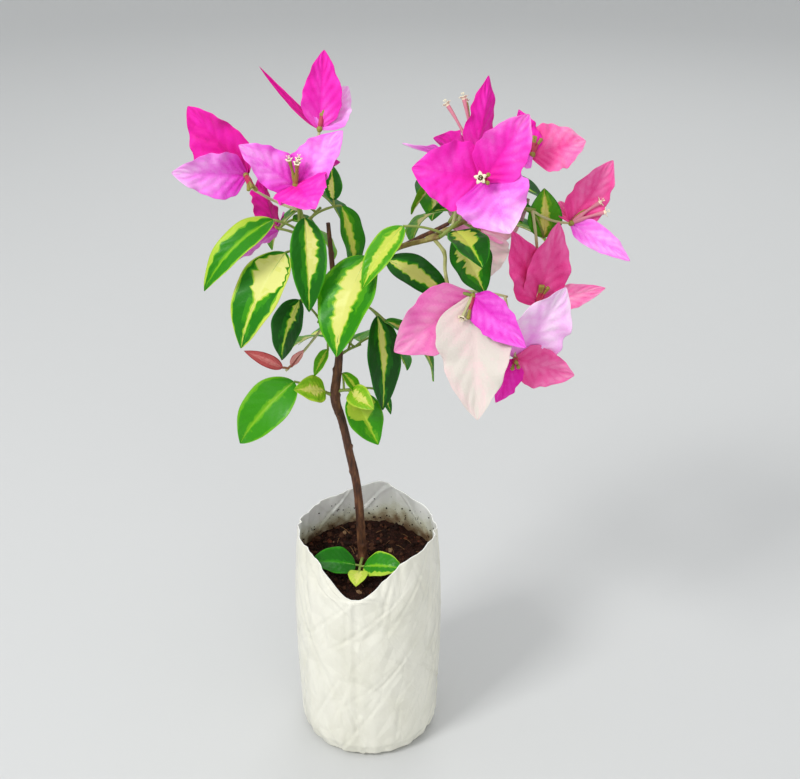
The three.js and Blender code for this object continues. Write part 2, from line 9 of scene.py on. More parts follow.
import bpy
import numpy as np
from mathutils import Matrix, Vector

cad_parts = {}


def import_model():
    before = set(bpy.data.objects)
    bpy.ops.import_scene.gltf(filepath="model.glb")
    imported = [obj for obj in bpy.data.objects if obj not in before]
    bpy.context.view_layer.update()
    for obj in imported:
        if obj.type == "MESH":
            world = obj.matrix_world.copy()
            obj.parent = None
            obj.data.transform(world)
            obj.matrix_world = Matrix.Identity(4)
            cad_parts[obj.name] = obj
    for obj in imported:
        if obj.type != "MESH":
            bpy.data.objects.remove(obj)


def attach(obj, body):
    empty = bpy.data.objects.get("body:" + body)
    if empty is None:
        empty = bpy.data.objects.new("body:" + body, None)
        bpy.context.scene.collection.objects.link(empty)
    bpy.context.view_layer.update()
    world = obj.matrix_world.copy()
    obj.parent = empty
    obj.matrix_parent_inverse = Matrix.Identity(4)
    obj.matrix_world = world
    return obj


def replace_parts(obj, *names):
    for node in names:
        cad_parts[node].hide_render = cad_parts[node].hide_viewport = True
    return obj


MM = 0.001
GAP = 0.35
ROOT_DEPTH = 1.6
STALK_ARCH = 30
STALK_RADIUS = 0.6
RIB_SINK = 0.42
TWIG_TAPER = 0.85
LIMB_CLEARANCE = 4
LEAF_CLEARANCE = 13
LIMB_SAMPLES = 24
GOLDEN_ANGLE = 137.5
LEAF_ROWS = 56
LEAF_FOLD = 0.28
LEAF_THICKNESS = 0.42
LEAF_VEINS = 7.5
LEAF_VEIN_SLANT = 0.3
BRACT_ROWS = 66
BRACT_COLUMNS = 35
BRACT_CUP = 0.3
BRACT_THICKNESS = 0.3
BRACT_STACK = 0.8
BRACT_VEINS = 6.2
BRACT_VEIN_SLANT = 0.34
FLOWER_SPREAD = 16
FLOWER_SIDES = 20
SCAR_STEP = 14.5

BAG_BASE_RADIUS = 34
BAG_HEEL_RADIUS = 38
BAG_HEEL_HEIGHT = 2.6
BAG_FOOT_RADIUS = 39.8
BAG_FOOT_HEIGHT = 9
BAG_WAIST_HEIGHT = 40
BAG_BELLY_RADIUS = 41.5
BAG_BELLY_HEIGHT = 80
BAG_NECK_HEIGHT = 122
BAG_MOUTH_RADIUS = 38.7
BAG_MOUTH_HEIGHT = 133
BAG_SIDES = 260
FILM_THICKNESS = 0.45
FILM_DEPTH = 3
FILM_DENTS = 30
FILM_CREASES = 90
CREASE_TURN = 9
FRONT_CREASE = -90 - CREASE_TURN
BACK_CREASE = 90 - CREASE_TURN
CREASE_PEAK = 0.1
CREASE_WIDTH = 42
BACK_PEAK = 5
BACK_PEAK_WIDTH = 30
FRONT_DROOP = 21
FRONT_DROOP_WIDTH = 26
SOIL_HEIGHT = 109.8
SOIL_SIDES = 220
SOIL_LEVEL_RADIUS = 8
SOIL_INSET = 5.2
CLOD_HEIGHT = 1.8
CRUMBS = 1150
CRUMB_REACH = 38.2
WALL_SPECKS = 150
FIBRES = 26

# The stage, in metres, and the camera at the photograph's viewing angle.
CAMERA_PLACE = (0.018, -0.576, 0.5105)
CAMERA_DIP = 27
CAMERA_LENS = 55.9
SKY_COLOUR = (0.96, 0.975, 1, 1)
SKY_STRENGTH = 0.74
LIGHT_TARGET = (0.01, 0, 0.24)
# Lights: place, power in watts, size.
LIGHTS = {
    "key": ((-1.1, -1.0, 1.6), 22, 0.5), "fill": ((0.5, -1.7, 1.1), 5, 1.0),
    "back": ((0.3, 1.4, 1.4), 6, 1.0), "top": ((0.1, -0.2, 1.9), 2, 0.8),
}

# Limbs: the route from root to tip, the radius at each point and the bark.
LIMBS = {
    "main_stem": (
        [
            (-2.8, 0, SOIL_HEIGHT + GAP), (-3.1, 0, 119), (-5.2, 0, 157), (-9.5, 0, 182),
            (-12.6, 0, 199), (-15.8, 0, 213), (-13.3, 0.5, 236), (-14, 3, 259),
            (-15.7, 5, 282), (-17.4, 6, 306),
        ],
        [3.8, 2.7, 2.5, 2.4, 2.4, 2.9, 2.2, 2.3, 1.5, 1.1], "bark",
    ),
    "left_bough": ([(-14, 3, 259), (-23.9, 0, 275), (-32.2, -4, 292)], [1.8, 1.5, 1.3], "green_bark"),
    "right_bough": (
        [(-14.4, 3.6, 266), (0.7, -2, 284), (14.9, -7, 297), (36.9, -14, 306)],
        [1.8, 1.5, 1.4, 1.2], "green_bark",
    ),
    "right_outer_bough": (
        [(30.5, -12, 304.3), (48, -11, 312), (60, -9, 317.5), (78, -8, 318)],
        [1.1, 1, 0.95, 0.9], "green_bark",
    ),
    "right_low_bough": (
        [(33.8, -13, 305.2), (39.2, -14, 298), (39.8, -14.5, 289), (41.8, -16, 279)],
        [1, 0.95, 0.9, 0.85], "pale_bark",
    ),
    "back_left_bough": ([(-13.9, 2.7, 257), (-21, 14, 268), (-28, 25, 283)], [1.7, 1.4, 1.2], "bark"),
    "back_right_bough": (
        [(-15.2, 4.4, 275), (0, 14, 281), (22, 23, 289), (43, 28, 298)],
        [1.7, 1.5, 1.3, 1.1], "bark",
    ),
}
STEM_X, STEM_Y = LIMBS["main_stem"][0][0][:2]

# Twigs of each mass: name, parent, place along it, heading, rise, length, bend, radius. The
# first twig of a mass grows from a limb, where the place is a point of the limb's route.
TWIGS = {
    "upper_left_spray": [
        ("stem", "left_bough", 2, -44, 81, 18, -10, 1.2),
        ("top", "stem", 1, -105, 86, 13.5, 0, 1),
        ("side", "stem", 0.95, 22, 24, 22, 50, 0.7),
        ("left_stalk", "top", 0.75, 173, 25, 27, -20, 0.7),
        ("left_stalk_end", "left_stalk", 1, -127, 69, 7, 0, 0.7),
        ("middle_stalk", "top", 1, -96, 61, 13, 0, 0.8),
        ("high_stalk", "top", 1, 57, 60, 37, -30, 0.8),
    ],
    "left_low_leaves": [
        ("stem", "main_stem", 6.6, -168, 30, 12, 0, 1),
        ("young_stalk", "stem", 0.8, -158, -46, 31, -10, 0.7),
    ],
    "knee_leaves": [("stem", "main_stem", 5, -172, 22, 14, 20, 1)],
    "fork_leaves": [("stem", "right_bough", 1, -50, 25, 6, 0, 0.9)],
    "hanging_leaves": [("stem", "main_stem", 7.1, -22, 22, 16, 20, 1)],
    "lower_right_leaves": [("stem", "main_stem", 5.15, -20, 15, 9, 10, 1)],
    "basal_leaves": [("stem", "main_stem", 0.35, -95, 8, 16, 20, 0.9)],
    "right_top_spray": [
        ("stem", "right_bough", 3, -9, 44, 14, -10, 1.1),
        ("front_stalk", "stem", 1, -42, 58, 27, 20, 0.8),
        ("back_stalk", "stem", 0.7, 25, 74, 36, 10, 0.8),
        ("outer_stalk", "back_stalk", 0.3, 3, 36, 43, 10, 0.8),
    ],
    "right_outer_spray": [
        ("stem", "right_outer_bough", 3, 8, -10, 5, 0, 0.9),
        ("far_stalk", "stem", 0.9, 3, -20, 21, -40, 0.7),
        ("low_stalk", "stem", 1, -40, -83, 48, 15, 0.8),
    ],
    "right_low_spray": [
        ("stem", "right_low_bough", 3, -10, -8, 12, 10, 0.9),
        ("outer_stalk", "stem", 0.3, 2, -7, 27, 20, 0.7),
        ("outer_stalk_end", "outer_stalk", 1, -33, -77, 33, 10, 0.7),
    ],
    "back_left_spray": [
        ("stem", "back_left_bough", 2, 120, 62, 24, 20, 1.1),
        ("left", "stem", 0.35, 165, 15, 18, 30, 0.8),
        ("right", "stem", 0.6, 60, 25, 16, 30, 0.8),
        ("top", "stem", 1, 95, 55, 14, 10, 0.8),
    ],
    "back_right_spray": [
        ("stem", "back_right_bough", 3, 20, 50, 22, 20, 1),
        ("top", "stem", 1, 60, 40, 14, 10, 0.8),
        ("low", "stem", 0.3, 35, -35, 20, -20, 0.8),
        ("left", "stem", 0.5, 140, 30, 16, 20, 0.8),
    ],
    "back_low_leaves": [
        ("stem", "main_stem", 5.7, 80, 35, 14, 20, 1),
        ("right", "stem", 0.7, 20, 20, 12, 20, 0.8),
    ],
}

# Leaves: twig, place along it, stalk heading, rise and length, blade heading, rise, length,
# width, bend and roll, look.
LEAVES = {
    "upper_left_spray": [
        ("stem", 0.85, -162, 30, 15, -159, -42, 47, 16, 80, 35, "lime_edge"),
        ("stem", 0.25, -124, 15, 10, -144, -57, 52, 25, 50, 25, "cream_base"),
        ("stem", 0.97, -62, 49, 9, -84, -75, 45, 18, 40, 10, "cream_side"),
        ("side", 1, 30, -10, 3, -30, -78, 36, 19, 20, 0, "olive_streak"),
        ("side", 0.96, 100, 60, 3, 110, 80, 18, 9, 20, 0, "cream_side"),
    ],
    "left_low_leaves": [
        ("stem", 0.6, -100, -75, 12, -159, -61, 16, 7, 20, 30, "lime"),
        ("stem", 0.95, -172, 52, 17, -158, -70, 34, 19, 30, 30, "dark_marks"),
        ("young_stalk", 1, -160, 20, 3, -170, 30, 22, 7, 20, 60, "young"),
        ("young_stalk", 1, -30, 40, 3, -17, 55, 12, 5, 20, 60, "young"),
    ],
    "knee_leaves": [
        ("stem", 1, -172, 28, 11, -162, -46, 44, 24, 60, 45, "bright"),
        ("stem", 0.45, -120, 40, 3, -142, 20, 20, 15, 30, 50, "yellow_spots"),
    ],
    "fork_leaves": [
        ("stem", 0.8, -92, 62, 10, -124, -56, 52, 31, 40, 0, "cream_heart"),
        ("stem", 0.9, 0, 30, 10, -10, -32, 38, 17, 60, -40, "narrow_heart"),
    ],
    "hanging_leaves": [
        ("stem", 1, -5, -40, 11, -60, -84, 52, 19, 25, 0, "dark_streak"),
        ("stem", 0.95, -9, -35, 16, -5, -52, 42, 18, 60, 0, "cream_heart"),
    ],
    "lower_right_leaves": [
        ("stem", 0.75, 100, 70, 9, -32, -50, 17, 9, 30, 0, "lime"),
        ("stem", 0.9, -30, 10, 3, -52, -9, 20, 12, 40, -40, "yellow_spots"),
        ("stem", 1, -40, -30, 3, -29, -60, 30, 20, 20, -30, "yellow_fold"),
        ("stem", 1, 5, 0, 14, -5, -60, 17, 7, 50, -30, "cream_side"),
    ],
    "basal_leaves": [
        ("stem", 0.85, -165, 20, 3, -166, 14, 26, 17, 35, 25, "deep"),
        ("stem", 0.9, -30, 20, 3, -24, 12, 24, 16, 35, -25, "lime_edge"),
        ("stem", 1, -90, 0, 3, -96, 2, 15, 11, 40, 0, "yellow"),
    ],
    "right_top_spray": [
        ("stem", 0.3, -177, 12, 20, -140, -45, 36, 14, 40, 20, "lime_heart"),
        ("stem", 0.3, 0, 10, 6, -60, -25, 26, 20, 40, 0, "yellow_top"),
        ("stem", 0.3, 20, -30, 6, -16, -60, 31, 25, 30, -30, "blotched"),
    ],
    "right_outer_spray": [("stem", 0.7, 12, -62, 17, 95, 80, 24, 17, 10, 0, "pale_stripe")],
}

# Masses with seeded leaves: how many, the seed, and the corners of the box they stay in.
SEEDED = {
    "back_left_spray": (9, 37, (-64, 13, 226), (2, 68, 338)),
    "back_right_spray": (9, 1665, (14, 13, 228), (104, 74, 346)),
    "back_low_leaves": (5, 1591, (-44, 5, 184), (30, 62, 252)),
}

# Blooms: twig, facing heading and rise, heading and rise of the flowers, their kinds and
# length, then bracts, each being heading, rise, length, width, bend, tint family, the tints
# at its base, middle and tip, and how much deeper its edge is.
BLOOMS = {
    "upper_left_spray": [
        ("left_stalk_end", -110, 10, -60, -25, "bbb", 11, [
            (166, 48, 42, 29, 20, "magenta", 3.8, 3.5, 3.3, 0.4),
            (-160, 8, 36, 23, 20, "lilac", 3.6, 2.2, 1, 0.3),
            (110, 20, 26, 20, 20, "magenta", 4, 3.4, 3, 0.2),
        ]),
        ("middle_stalk", -90, 45, -90, 82, "ttt", 13, [
            (-171, 40, 33, 21, 5, "lilac", 3.6, 2.2, 1.6, 0.9),
            (15, 46, 34, 22, 5, "lilac", 4.2, 1.8, 1.8, 0.9),
            (-64, -10, 24, 28, 5, "magenta", 3, 2.2, 1.6, 0.3),
        ]),
        ("high_stalk", -80, 25, 60, 60, "bbb", 10, [
            (154, 40, 42, 4, -45, "magenta", 4.6, 4.2, 3.6, 0.2),
            (78, 71, 37, 20, 15, "magenta", 1.8, 2.6, 3, 0.3),
            (48, 40, 26, 19, 10, "lilac", 2.6, 1.2, 0.8, 0.2),
        ]),
    ],
    "right_top_spray": [
        ("front_stalk", -92, 20, -88, 22, "obb", 9, [
            (-176, 11, 34, 34, 10, "magenta", 3.2, 2.4, 2.2, 0.3),
            (-52, -46, 28, 36, 15, "lilac", 3.6, 2.2, 0.6, 0.2),
            (14, 55, 36, 26, 15, "magenta", 3.4, 2.2, 1.2, -0.4),
        ]),
        ("back_stalk", 100, 50, 125, 62, "sst", 26, [
            (57, 72, 37, 17, -30, "magenta", 1.4, 2.6, 2.7, 0.9),
            (166, 6, 34, 11, -30, "lilac", 2.6, 2.8, 0.6, 0.4),
            (60, -10, 24, 20, 10, "magenta", 3, 3, 2.4, 0.4),
        ]),
        ("outer_stalk", -70, 45, 60, 50, "bbb", 9, [
            (9, 14, 27, 26, 15, "salmon", 3.2, 2.4, 1.6, -0.2),
            (128, 62, 22, 14, 10, "magenta", 3.4, 3, 2.4, 0.2),
            (-160, 5, 20, 18, 10, "lilac", 3, 2.2, 1.6, 0.2),
        ]),
    ],
    "right_outer_spray": [
        ("far_stalk", -70, 25, 7, 30, "sst", 17, [
            (24, 53, 36, 21, 15, "salmon", 3.2, 2.5, 2.1, 0.3),
            (-25, -25, 34, 14, 20, "lilac", 2.6, 1.8, 1.8, 0.3),
            (107, 25, 16, 13, 10, "salmon", 3, 2.6, 2.2, 0.2),
        ]),
        ("low_stalk", -75, 20, -60, 70, "bbb", 12, [
            (-20, 79, 45, 23, 15, "salmon", 2.8, 2.7, 2.2, 0.4),
            (-166, 70, 42, 22, 15, "salmon", 3, 3.1, 2.9, 0.3),
            (-3, 16, 34, 14, -20, "salmon", 2.4, 1.4, 1.6, 0.4),
        ]),
    ],
    "right_low_spray": [
        ("stem", -95, 10, -110, -35, "wb", 13, [
            (-167, -34, 48, 34, 20, "blush", 3.8, 3.6, 3, 0.2),
            (-87, -58, 61, 38, 10, "blush", 0.5, 0, 0.1, 0.3),
            (-47, -24, 39, 20, 15, "lilac", 3.6, 3.2, 3, 0.2),
        ]),
        ("outer_stalk_end", -75, 5, -100, 0, "bbb", 9, [
            (-8, 60, 46, 33, 25, "lilac", 2, 0.6, 0.2, 0.1),
            (-8, -14, 31, 22, 15, "salmon", 2.6, 2.2, 1.7, 0.4),
            (-130, -50, 24, 15, 10, "magenta", 3, 2.6, 2.2, 0.2),
        ]),
    ],
    "back_left_spray": [
        ("top", 95, 35, 95, 35, "obb", 12, [
            (170, 25, 30, 26, 10, "magenta", 3.4, 2.8, 2.2, 0.3),
            (35, 20, 26, 24, 10, "magenta", 3.2, 3, 2.4, 0.3),
            (95, -35, 30, 26, 10, "lilac", 3, 1.8, 1.2, 0.3),
        ]),
        ("left", 140, 20, 140, 40, "ttt", 13, [
            (-178, -35, 28, 22, 10, "lilac", 3.2, 2.4, 1.8, 0.3),
            (120, 50, 30, 24, 10, "magenta", 3.8, 3.4, 2.6, 0.3),
            (95, -30, 28, 22, 10, "lilac", 3, 1.6, 1.2, 0.4),
        ]),
    ],
    "back_right_spray": [
        ("top", 75, 30, 75, 30, "obb", 12, [
            (140, 20, 34, 28, 10, "magenta", 3.6, 3, 2.4, 0.3),
            (10, 35, 33, 27, 10, "salmon", 3.2, 2.6, 1.8, 0.3),
            (80, -40, 34, 28, 10, "lilac", 3.2, 2, 1.2, 0.3),
        ]),
        ("low", 60, -10, 60, -10, "obb", 12, [
            (120, 10, 32, 26, 10, "blush", 3.4, 3, 2.6, 0.3),
            (20, 25, 32, 25, 10, "blush", 3, 2, 1.4, 0.3),
            (50, -70, 32, 28, 10, "blush", 1.6, 0.6, 0.4, 0.3),
        ]),
    ],
}

# Kinds of flower: open star, rosy star, tube with a cream tip, closed bud, white star. Each
# has the tones of its tube and its star, and the star's size, which is 0 for a bud.
FLOWER_TONES = {
    "o": ("tube_rose", "star", 1), "s": ("tube_rose", "star", 0.8), "t": ("tube_olive", "star", 0.62),
    "b": ("tube_red", "tube_olive", 0), "w": ("pale_stalk", "star", 0.9),
}

# Base colours, as seen on a screen.
COLOURS = {
    "red_rib": (150, 70, 60), "rib": (140, 184, 84), "stalk": (132, 152, 66),
    "red_stalk": (150, 96, 64), "pale_stalk": (190, 192, 136),
    "tube_olive": (150, 146, 56), "tube_rose": (214, 132, 150), "tube_red": (186, 56, 84),
    # The throat's dark colour is painted shade: it darkens the hole that leads down into each flower's tube.
    "star": (248, 240, 206), "throat": (96, 78, 34),
}
# Tints of a leaf, from its darkest green through lime to cream, each a whole tone apart.
LEAF_TINTS = [
    (4, 42, 2), (8, 66, 2), (15, 93, 2), (28, 120, 2), (54, 146, 2), (90, 170, 8),
    (128, 186, 28), (160, 200, 46), (188, 210, 70), (208, 216, 94), (220, 222, 120), (232, 232, 150),
]
RED_TINTS = [(136, 40, 44), (176, 68, 68), (200, 98, 98), (216, 134, 130), (226, 164, 154)]
# Tints of the film inside the bag, from clean to stained by the soil.
FILM_STAINS = [(253, 253, 249), (246, 247, 238), (224, 224, 204), (184, 176, 148), (120, 96, 70)]
LEAF_LEVELS = 2 * len(LEAF_TINTS) - 1
FILM_LEVELS = 13
BRACT_LEVELS = 21
BRACT_TONES = 5
# Tints of the bracts, from pale to deep, each a whole tone apart.
RAMPS = {
    "magenta": [
        (252, 186, 234), (250, 124, 216), (248, 68, 200), (242, 26, 182), (226, 2, 156), (180, 0, 118),
    ],
    "lilac": [
        (254, 228, 251), (252, 192, 246), (249, 150, 238), (242, 102, 224), (228, 48, 198), (194, 12, 154),
    ],
    "salmon": [
        (254, 220, 231), (253, 174, 208), (249, 124, 184), (243, 78, 158), (228, 40, 130), (184, 14, 92),
    ],
    "blush": [
        (222, 214, 204), (236, 208, 207), (244, 188, 210), (245, 156, 202), (240, 116, 188), (224, 70, 164),
    ],
}
# Barks: colour stops, roughness, grain, how the grain is stretched, bump.
BARKS = {
    "bark": (
        [(0.3, (44, 23, 13)), (0.5, (86, 49, 28)), (0.7, (132, 88, 56))], 0.66, 420, (1, 1, 0.28), 0.55,
    ),
    "green_bark": (
        [(0.3, (112, 84, 40)), (0.5, (136, 124, 56)), (0.72, (158, 156, 82))], 0.6, 380, (1, 1, 0.4), 0.35,
    ),
    "pale_bark": (
        [(0.3, (150, 150, 84)), (0.5, (184, 184, 118)), (0.72, (206, 206, 150))], 0.55, 380, (1, 1, 0.4), 0.3,
    ),
}
# Bits on the soil, and up to which draw between 0 and 1 a crumb takes each tone.
BIT_COLOURS = {
    "crumb_dark": (36, 22, 17), "crumb_brown": (76, 48, 34), "crumb_red": (98, 50, 34),
    "chip": (140, 110, 80), "fibre": (124, 92, 60),
}
CRUMB_SHARES = {"crumb_dark": 0.62, "crumb_brown": 0.92, "crumb_red": 0.985, "chip": 1}

# Looks of a leaf as tints: body, heart, between them, rim, then the heart's start and end,
# its half width on either side, how ragged it is, and the rim's width on either side.
LOOKS = {
    "lime_edge": (3.5, 6, 4.6, 7.4, 0, 0.95, 0.05, 0.05, 0.1, 0.06, 0.34),
    "cream_base": (3, 10.4, 6, 8.6, 0, 0.5, 0.8, 0.66, 0.5, 0.14, 0.06),
    "cream_side": (2.5, 10.2, 5, 4.6, 0.02, 0.66, 0.5, 0.06, 0.4, 0.06, 0.06),
    "olive_streak": (3.5, 8.8, 6, 3, 0.02, 0.86, 0.2, 0.26, 0.4, 0.06, 0.06),
    "dark_marks": (1.5, 9.6, 4, 2.6, 0.02, 0.5, 0.24, 0.12, 0.8, 0.06, 0.06),
    "dark_streak": (1.5, 10, 4, 2.8, 0.0, 0.6, 0.24, 0.1, 0.4, 0.05, 0.06),
    "lime": (5, 8, 6.4, 6.8, 0, 0.8, 0.2, 0.1, 0.3, 0.06, 0.06),
    "bright": (4, 6, 4.8, 5.6, 0, 0.96, 0.05, 0.05, 0.1, 0.05, 0.1),
    "yellow_spots": (6, 9.8, 8, 7.6, 0.1, 0.8, 0.3, 0.24, 0.9, 0.12, 0.1),
    "cream_heart": (3.5, 10, 6, 5.2, 0.02, 0.94, 0.26, 0.36, 0.45, 0.05, 0.08),
    "narrow_heart": (2, 10, 5, 1.6, 0.02, 0.9, 0.3, 0.36, 0.4, 0.05, 0.05),
    "lime_heart": (4.5, 8.6, 6.6, 6.6, 0, 0.9, 0.4, 0.3, 0.4, 0.08, 0.06),
    "yellow_top": (2, 8.6, 5, 4, 0, 0.5, 0.7, 0.6, 0.6, 0.05, 0.05),
    "blotched": (3, 10.2, 6.4, 2.2, 0.1, 0.7, 0.5, 0.44, 1.0, 0.06, 0.06),
    "yellow_fold": (4, 7.6, 6.4, 5.2, 0, 0.5, 0.95, 0.9, 0.3, 0.05, 0.05),
    "pale_stripe": (4.5, 9.8, 7, 3.6, 0.05, 0.9, 0.16, 0.2, 0.3, 0.06, 0.06),
    "deep": (2.5, 3.6, 3, 3.4, 0, 0.9, 0.05, 0.05, 0.1, 0.05, 0.1),
    "yellow": (8.2, 9.6, 8.8, 7.4, 0.05, 0.9, 0.3, 0.24, 0.7, 0.1, 0.1),
    "young": (1.6, 2.8, 2.2, 0.6, 0, 0.9, 0.3, 0.25, 0.3, 0.12, 0.12),
}
SEEDED_LOOKS = ["cream_heart", "bright", "dark_streak", "cream_side", "lime_edge", "narrow_heart"]


def direction(heading, rise):
    """The unit vector at a heading and a rise above level."""
    flat = math.cos(math.radians(rise))
    heading = math.radians(heading)
    return np.array((flat * math.cos(heading), flat * math.sin(heading), math.sin(math.radians(rise))))


def draws_from(seed):
    """Even draws between 0 and 1, the same for the same seed."""
    state = seed
    while True:
        state = (state * 1664525 + 1013904223) % 4294967296
        yield state / 4294967296


def smoothstep(x, low, high):
    """0 up to low, 1 from high on, and a smooth rise between them."""
    x = np.clip((x - low) / (high - low), 0, 1)
    return x * x * (3 - 2 * x)


def bell(x, width):
    """1 at zero, and next to nothing from twice the width on."""
    return np.exp(-((x / width) ** 2))


def unit(v):
    return v / np.linalg.norm(v, axis=-1, keepdims=True)


def ring_angles(sides):
    return np.linspace(0, 2 * np.pi, sides, endpoint=False)


def eased(count):
    """Places from 0 to 1, closer together at both ends."""
    return (1 - np.cos(np.pi * np.linspace(0, 1, count))) / 2


def level_numbers(tone, count):
    """Tones as the numbers of the nearest of a count of levels."""
    return np.clip(np.round(tone), 0, count - 1).astype(int)


def wave(t, phases, steps):
    """A smooth random line between about -1 and 1."""
    return sum(np.sin(2 * np.pi * (s * t + p)) for s, p in zip(steps, phases)) / len(steps) * 1.4


def rough(x, y, seed, size, waves=22):
    """A smooth random field of lumps of about one size."""
    draw = draws_from(seed)
    total = 0
    for _ in range(waves):
        turn, phase = 2 * np.pi * next(draw), 2 * np.pi * next(draw)
        step = 2 * np.pi / size * (0.6 + 0.9 * next(draw))
        total = total + np.sin(step * (x * np.cos(turn) + y * np.sin(turn)) + phase)
    return total / math.sqrt(waves)


class Arc:
    """An even bend about its side, over a chord, bulging towards up."""

    def __init__(self, start, chord, up, length, bend):
        self.start, self.chord, self.up, self.length = start, chord, up, length
        self.bend = math.radians(1 if abs(bend) < 1 else bend)

    def slope(self, t):
        return self.bend * (0.5 - np.asarray(t, float)[..., None])

    def point(self, t):
        half, slope = self.bend / 2, self.slope(t)
        scale = self.length / (2 * math.sin(half))
        along = scale * (math.sin(half) - np.sin(slope))
        out = scale * (np.cos(slope) - math.cos(half))
        return self.start + along * self.chord + out * self.up

    def tangent(self, t):
        return np.cos(self.slope(t)) * self.chord + np.sin(self.slope(t)) * self.up

    def normal(self, t):
        return np.cos(self.slope(t)) * self.up - np.sin(self.slope(t)) * self.chord


def rising_arc(start, heading, rise, length, bend):
    """An arc at a heading and a rise that bulges upwards."""
    return Arc(start, direction(heading, rise), direction(heading, rise + 90), length, bend)


class Route:
    """A smooth curve through the points of a limb."""

    def __init__(self, points):
        points = np.array(points, float)
        first = 2 * points[0] - points[1]
        last = 2 * points[-1] - points[-2]
        self.points = np.vstack([first, points, last])
        self.spans = len(points) - 1

    def point(self, t):
        place = np.clip(np.asarray(t, float), 0, 1) * self.spans
        i = np.minimum(place.astype(int), self.spans - 1)
        w = (place - i)[..., None]
        a, b, c, d = (self.points[i + k] for k in range(4))
        v0, v1 = (c - a) / 2, (d - b) / 2
        return b + v0 * w + (3 * (c - b) - 2 * v0 - v1) * w**2 + (2 * (b - c) + v0 + v1) * w**3

    def tangent(self, t):
        t = np.asarray(t, float)
        return unit(self.point(np.minimum(t + 1e-4, 1)) - self.point(np.maximum(t - 1e-4, 0)))


def add_object(name, data):
    """A new object in the scene."""
    obj = bpy.data.objects.new(name, data)
    bpy.context.scene.collection.objects.link(obj)
    return obj


def mesh_object(name, points, faces, smooth=True):
    """A new mesh in the scene: points in metres, and faces as lists of their numbers."""
    mesh = bpy.data.meshes.new(name)
    mesh.from_pydata(points.tolist(), [], faces)
    mesh.polygons.foreach_set("use_smooth", [smooth] * len(faces))
    return add_object(name, mesh)


def faces_between(index):
    """The four-sided faces between rings, given the numbers of the rings' points."""
    after = np.roll(index, -1, axis=1)
    return np.stack([index[:-1], after[:-1], after[1:], index[1:]], axis=-1).reshape(-1, 4)


class Batch:
    """Collects closed tubes of rings, each face with a colour name, for one mesh."""

    def __init__(self):
        self.points, self.quads, self.tris = [], [], []
        self.quad_tints, self.tri_tints, self.names = [], [], []
        self.count = 0

    def tint(self, name):
        """The number of a colour name."""
        if name not in self.names:
            self.names.append(name)
        return self.names.index(name)

    def levels(self, family, count):
        """The numbers of a family of colours, from its level 0 up."""
        return np.array([self.tint(f"{family}_{k}") for k in range(count)])

    def tube(self, rings, tints):
        """Rings of points from one end to the other, and a colour number for each face."""
        rows, sides = rings.shape[:2]
        tints = np.broadcast_to(tints, (rows - 1, sides))
        index = self.count + np.arange(rows * sides).reshape(rows, sides)
        self.quads.append(faces_between(index))
        self.quad_tints.append(tints.reshape(-1))
        self.points.append(rings.reshape(-1, 3))
        self.count += rows * sides
        for end, order in ((0, (0, 2, 1)), (-1, (0, 1, 2))):
            fan = np.stack([np.full(sides, self.count), index[end], np.roll(index[end], -1)], axis=-1)
            self.tris.append(fan[:, order])
            self.tri_tints.append(tints[end])
            self.points.append(rings[end].mean(axis=0)[None])
            self.count += 1

    def mesh(self, name, materials, smooth=True):
        """The mesh object, riding on the root."""
        faces = np.concatenate(self.quads).tolist() + np.concatenate(self.tris).tolist()
        obj = mesh_object(name, np.concatenate(self.points) * MM, faces, smooth)
        used, tints = np.unique(np.concatenate(self.quad_tints + self.tri_tints), return_inverse=True)
        obj.data.polygons.foreach_set("material_index", tints.astype(np.int32))
        obj.data.validate()
        for k in used:
            obj.data.materials.append(materials[self.names[k]])
        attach(obj, "root")
        return obj


def frames(tangents):
    """Two unit vectors across a curve at each place, carried along it without twist."""
    normal = unit(np.cross(tangents[0], (0.31, 0.95, 0.05)))
    normals = []
    for tangent in tangents:
        normal = unit(normal - tangent * (normal @ tangent))
        normals.append(normal)
    normals = np.array(normals)
    return normals, np.cross(tangents, normals)


def round_rings(curve, radii, sides, places):
    """Rings round a curve: radii holds one radius for each place, or one for each point."""
    across, upward = frames(curve.tangent(places))
    angle = ring_angles(sides)[None, :, None]
    radii = np.asarray(radii, float)
    if radii.ndim == 1:
        radii = radii[:, None]
    out = np.cos(angle) * across[:, None] + np.sin(angle) * upward[:, None]
    return curve.point(places)[:, None] + out * radii[..., None]


def add_sheet(batch, midrib, t, across, offset, thick, over, under):
    """A thin closed sheet, so far across and off its midrib, with tints over and under it."""
    flat = midrib.point(t)[:, None] + np.cross(midrib.chord, midrib.up) * across[..., None]
    normal = midrib.normal(t)[:, None]
    top = flat + normal * (offset + thick / 2)[..., None]
    low = flat + normal * (offset - thick / 2)[..., None]
    tints = np.concatenate([over, over[:, -1:], under[:, ::-1], over[:, :1]], axis=1)
    batch.tube(np.concatenate([top, low[:, ::-1]], axis=1), tints)


def root_on(curve, along):
    """Where a shoot starts that grows from a place along a curve and is rooted in it."""
    return curve.point(along) - curve.tangent(along) * ROOT_DEPTH


def leaf_outline(t):
    return 2.87 * t**0.62 * (1 - t) ** 0.95


def bract_outline(t):
    return 2.45 * t**0.48 * (1 - t) ** 0.9


def along_veins(t, size):
    """The run along a leaf's slanting side veins: a whole number on each vein."""
    return LEAF_VEINS * (t - LEAF_VEIN_SLANT * size)


def on_vein(run, width):
    """1 on a side vein, falling off to either side of it."""
    return bell(run - np.round(run), width)


